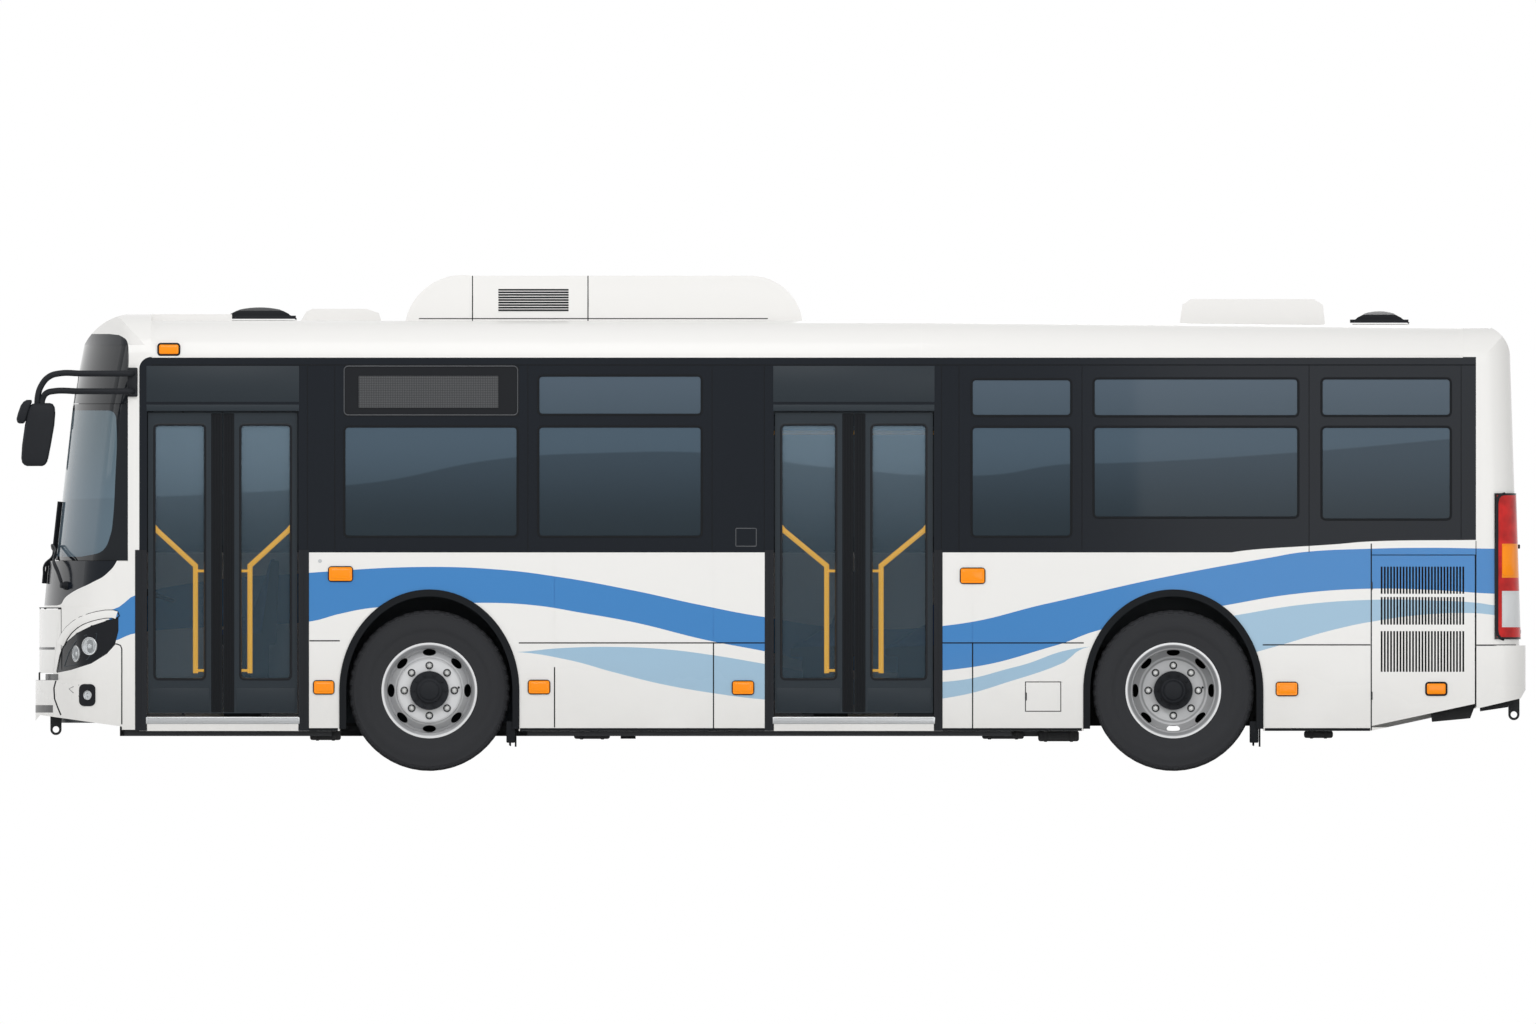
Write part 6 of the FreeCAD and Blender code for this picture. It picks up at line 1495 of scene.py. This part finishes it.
# %% Frames and lenses of the rear lamps
lamp_skin = Skin("tail_lamps", "rear_cap")
LAMP_LOW, LAMP_HIGH, LAMP_LEAN = 0.874, 1.844, 0.057
LAMP_TALL = LAMP_HIGH - LAMP_LOW
mesh, amber, clear = bmesh.new(), bmesh.new(), bmesh.new()
front = [(4.872, LAMP_LOW), (4.85, LAMP_LOW + 0.008), (4.832, LAMP_LOW + 0.03), (4.826, LAMP_LOW + 0.065)]
front += [(4.826, LAMP_LOW + LAMP_TALL * number / 12) for number in range(2, 11)]
front += [(4.826, LAMP_HIGH - 0.065), (4.832, LAMP_HIGH - 0.03), (4.85, LAMP_HIGH - 0.008), (4.88, LAMP_HIGH)]
for way, _ in SIDES:
    bead(mesh, lamp_skin, way, front, 0.018, 0.01)
    for z0, z1, cover in ((1.3, 1.5, amber), (0.965, 1.176, clear)):
        loop = rounded_loop(4.864, 4.966 - LAMP_LEAN * (z0 - LAMP_LOW) / LAMP_TALL, z0, z1, 0.022, 3)
        draped(cover, lamp_skin, way, loop, 0.003, 0.007, 3)
piece("tail_lamp_frames", mesh, ROOT, "black_trim", black_plastic)
piece("tail_lamp_amber", amber, ROOT, "orange_lens", amber_lens)
piece("tail_lamp_clear", clear, ROOT, "window_glass", clear_lens)

# %% [markdown]
# ## Route display over the windows
#
# The display stands behind the dark band. It is a matrix of small round diodes on a black
# board, all switched off. One shallow dome for each diode would be far too many faces, so
# the dots are made by the finish, and the board and its rounded frame are real.

# %% Side display
THIN = ((0.0, -0.002), (0.0, 0.002), (0.003, 0.003), (0.006, 0.002), (0.006, -0.002))
frames, board, reader, lock = (bmesh.new() for _ in range(4))
for _, side in SIDES:
    gasket(frames, -2.842, -1.682, 2.364, 2.695, 0.03, side, THIN)
    on_wall(board, side, -2.742, -1.813, -0.004, 0.0012, 2.414, 2.627)
# the card reader in the pillar, and the lock behind the front door
gasket(reader, -0.237, -0.095, 1.491, 1.616, 0.01, -1, THIN)
stubs(lock, Vector((-2.999, -WALL, 1.396)), -1,
      ((-0.003, 0.013, 0.006, 24, 0.92), (0.003, 0.00585, 0.0015, 12, 0.9)))
piece("side_display_frames", frames, ROOT, "black_trim", seam_black)
piece("side_display_boards", board, ROOT, "screen_glass", led_board)
piece("band_inner_lines", reader, ROOT, "black_trim", seam_black)
piece("locks", lock, ROOT, "aluminium", aluminium)

# %% [markdown]
# ## Roof
#
# The air conditioner is a moulded cover in three lengths, and its seams are thin beads.
# The hatches have a raised rim and a domed panel.

# %% Air conditioner and roof hatches
cooler_skin = Skin("air_conditioner")
mesh = bmesh.new()
flange = [(x, 3.008) for x in row(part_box("air_conditioner")[0].x + 0.09, 0.08, 30)]
for way, _ in SIDES:
    for x in COVER_JOINTS:
        bead(mesh, cooler_skin, way, [(x, z) for z in row(3.012, 0.022, 8)], 0.007, 0.002)
    bead(mesh, cooler_skin, way, flange, 0.006, 0.002)
piece("air_conditioner_seams", mesh, ROOT, "rubber", rubber)

for name in ("front_roof_hatch", "rear_roof_hatch"):
    low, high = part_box(name)
    rims, skin = bmesh.new(), Skin(name)
    rim, dome = [rounded_loop(low.x + inset, high.x - inset, low.y + inset, high.y - inset, curve, steps)
                 for inset, curve, steps in ((0.05, 0.06, 4), (0.075, 0.07, 5))]
    bead(rims, skin, "roof", rim + rim[:1], 0.012, 0.004)
    draped(rims, skin, "roof", dome, 0.003, 0.022, 5)
    piece(name + "_ribs", rims, nodes[name]["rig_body"], "black_trim", black_plastic)
print("roof fitted")

# %% [markdown]
# ## Wheelhouses, mud flaps and the boxes under the floor
#
# Behind each wheel a dark sheet closes the wheelhouse, so that no daylight shows through
# the arches and the wheel's hand holes. A ribbed rubber flap hangs behind each wheel. Tanks,
# air bottles and the battery tray show a little under the skirt.

# %% Wheelhouse linings and flaps
linings, flaps, boxes, covers = (bmesh.new() for _ in range(4))
ARCH_REACH, ARCH_HIGH = 0.64, 0.54
FLAPS = ((-1.764, -1.698), (3.178, 3.246))
FLAP_LOW = 0.165
BOXES = ((-1.31, -1.071, 0.213), (1.403, 1.682, 0.213), (1.776, 2.048, 0.197), (3.544, 3.737, 0.219),
         (-3.066, -2.86, 0.205))
# side outlines of the two covers under the tail
COVERS = (((4.38, 0.44), (4.395, 0.326), (4.65, 0.35), (4.695, 0.47)),
          ((4.705, 0.52), (4.715, 0.396), (4.9, 0.424), (4.945, 0.53)))
for _, side in SIDES:
    for hub_x, depth in ((FRONT_HUB, 0.5), (REAR_HUB, 0.4)):
        turns = [math.pi * step / 24 for step in range(25)]
        arc = [(hub_x + ARCH_REACH * math.cos(turn), ARCH_HIGH + ARCH_REACH * math.sin(turn)) for turn in turns]
        arc = [(hub_x + ARCH_REACH, 0.3)] + arc + [(hub_x - ARCH_REACH, 0.3)]
        loft(linings, [[(x, side * y, z) for x, z in arc] for y in (depth, depth + 0.004)])
    for x0, x1 in FLAPS:
        for y in row(0.915, 0.045, 7):
            slab(flaps, x0 + 0.026, x0 + 0.036, side * y, side * (y + 0.041), FLAP_LOW, 0.3, 0.003)
        slab(flaps, x0 + 0.022, x0 + 0.026, side * 0.905, side * 1.24, FLAP_LOW + 0.004, 0.305, 0.001)
        slab(flaps, x0 + 0.004, x1 - 0.004, side * 1.18, side * 1.246, FLAP_LOW + 0.022, 0.33, 0.008, 2)
    for x0, x1, z0 in BOXES:
        slab(boxes, x0, x1, side * 0.9, side * 1.16, z0, 0.268, 0.016, 3)
        for x in (x0 + 0.05, x1 - 0.05):
            slab(boxes, x - 0.012, x + 0.012, side * 0.896, side * 1.164, z0 - 0.004, 0.268, 0.004)
    for outline in COVERS:
        loft(covers, [[(x, side * y, z) for x, z in outline] for y in (0.62, 1.15)])
piece("wheelhouse_linings", linings, ROOT, "dark_metal", lining)
piece("mud_flaps", flaps, ROOT, "rubber", rubber)
piece("underfloor_boxes", boxes, ROOT, "dark_metal", lining)
piece("rear_underbody_covers", covers, ROOT, "dark_metal", lining)
print("underside fitted")

# %% [markdown]
# ## Rear
#
# The engine door has its own louvre, a sunken grip and a blank plate holder with two small
# lamps over it. A round reflector sits on either side.

# %% Engine door
tail_skin = Skin("engine_door")
TAIL_BODY = nodes["engine_door"]["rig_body"]
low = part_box("engine_door")[0].z
louvres, plates, holder, reflectors = (bmesh.new() for _ in range(4))
for z in row(low + 0.09, 0.03, 12):
    bead(louvres, tail_skin, "tail", [(y * 0.06, z) for y in range(-9, 10)], 0.014, 0.005)
loop = rounded_loop(-0.26, 0.26, low + 0.475, low + 0.585, 0.012, 3)
draped(plates, tail_skin, "tail", loop, 0.006, 0.0)
bead(holder, tail_skin, "tail", loop + loop[:1], 0.014, 0.009)
# two plate lamps and the grip: place across, height over the door's foot, half sizes, how far out, rounding
STUDS = ((-0.13, 0.612, 0.05, 0.014, 0.026, 0.005), (0.13, 0.612, 0.05, 0.014, 0.026, 0.005),
         (0.0, 0.045, 0.11, 0.016, 0.014, 0.006))
for y, high, wide, tall, out, soft in STUDS:
    x, _, z = tail_skin.at("tail", y, low + high)[0]
    slab(holder, x - 0.004, x + out, y - wide, y + wide, z - tall, z + tall, soft, 2)
for _, side in SIDES:
    spot, facing = rear_skin.at("tail", side * 0.9, 0.99)
    knob(reflectors, spot - facing * 0.006, facing, 0.044, 0.008, 32, 0.94)
    knob(reflectors, spot + facing * 0.002, facing, 0.038, 0.004, 32, 0.75)
piece("engine_door_louvres", louvres, TAIL_BODY, "black_trim", black_plastic)
piece("number_plate", plates, TAIL_BODY, "white_paint", plate_white)
piece("number_plate_holder", holder, TAIL_BODY, "black_trim", black_plastic)
piece("rear_reflectors", reflectors, ROOT, "red_lens", red_lens)

# %% [markdown]
# ## Seat pads
#
# Each passenger seat has a padded shell: a cushion that is thickest under the thighs, and a
# back that leans. A pad is an outline seen from the side, swept across the seat with its
# ends drawn in, and rounded by subdivision. The pads are the soft parts of the bus.

# %% Pads on the seats
PAD = ((0.0, 0.05), (0.015, 0.085), (0.13, 0.098), (0.27, 0.09), (0.318, 0.115), (0.342, 0.33),
       (0.372, 0.54), (0.405, 0.585), (0.432, 0.56), (0.405, 0.33), (0.365, 0.07), (0.3, 0.04), (0.15, 0.036))
ACROSS = ((-0.205, 0.86), (-0.192, 0.97), (-0.1, 1.0), (0.0, 1.0), (0.1, 1.0), (0.192, 0.97), (0.205, 0.86))
def pad(mesh, x, y, z):
    """One pad: its outline swept across the seat, drawn in at both ends."""
    rings = []
    for out, share in ACROSS:
        ends = share < 0.99
        rings.append([(x + along + 0.004 * (ends and up > 0.2), y + out,
                       z + up - (1 - share) * (0.1 if up > 0.5 else 0.03)) for along, up in PAD])
    loft(mesh, rings)


SEATS = [(-2.48, 1.225, (-0.88, 0.88)), (-1.25, 0.76, (-0.98, -0.545, 0.545, 0.98))]
SEATS += [(x, 0.76, (0.545, 0.98)) for x in (-0.56, 0.13, 0.76)]
SEATS += [(2.56, 1.225, (-0.88, 0.88)), (3.56, 1.46, (-0.98, -0.545, 0.545, 0.98)),
          (4.3, 1.46, (-0.98, -0.545, 0.0, 0.545, 0.98)), (-3.72, 0.84, (0.7,))]
mesh = bmesh.new()
for x, z, places in SEATS:
    for y in places:
        pad(mesh, x, y, z)
pads = piece("seat_pads", mesh, ROOT, "seat_blue", seat_cloth, smooth=60)
rounder = pads.modifiers.new("rounder", "SUBSURF")
rounder.levels = rounder.render_levels = 1
print("pads", sum(len(places) for _, _, places in SEATS))

# %% [markdown]
# ## Driver's place
#
# The dash has a row of round instruments, each a hood with a raised glass.

# %% Dash
wheel_low, wheel_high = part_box("steering_wheel")
mesh, cab_skin = bmesh.new(), Skin("driver_cab")
for y in row((wheel_low.y + wheel_high.y) / 2 - 2 * 0.085, 0.085, 5):
    spot, facing = cab_skin.at("roof", wheel_low.x - 0.06, y)
    if spot.z < 1.6:
        knob(mesh, spot - facing * 0.003, facing, 0.034, 0.01, 24, 0.95)
        knob(mesh, spot + facing * 0.007, facing, 0.028, 0.002, 24, 0.9)
piece("instruments", mesh, ROOT, "black_trim", black_gloss)

# %% Floor of the studio
ground = bmesh.new()
bmesh.ops.create_grid(ground, x_segments=1, y_segments=1, size=40)
floor_data = bpy.data.meshes.new("studio_floor")
ground.to_mesh(floor_data)
ground.free()
floor_data.materials.append(finish("studio_floor", shade(236, 236, 234), 0.9, Specular_IOR_Level=0.0))
studio_floor = bpy.data.objects.new("studio_floor", floor_data)
scene.collection.objects.link(studio_floor)
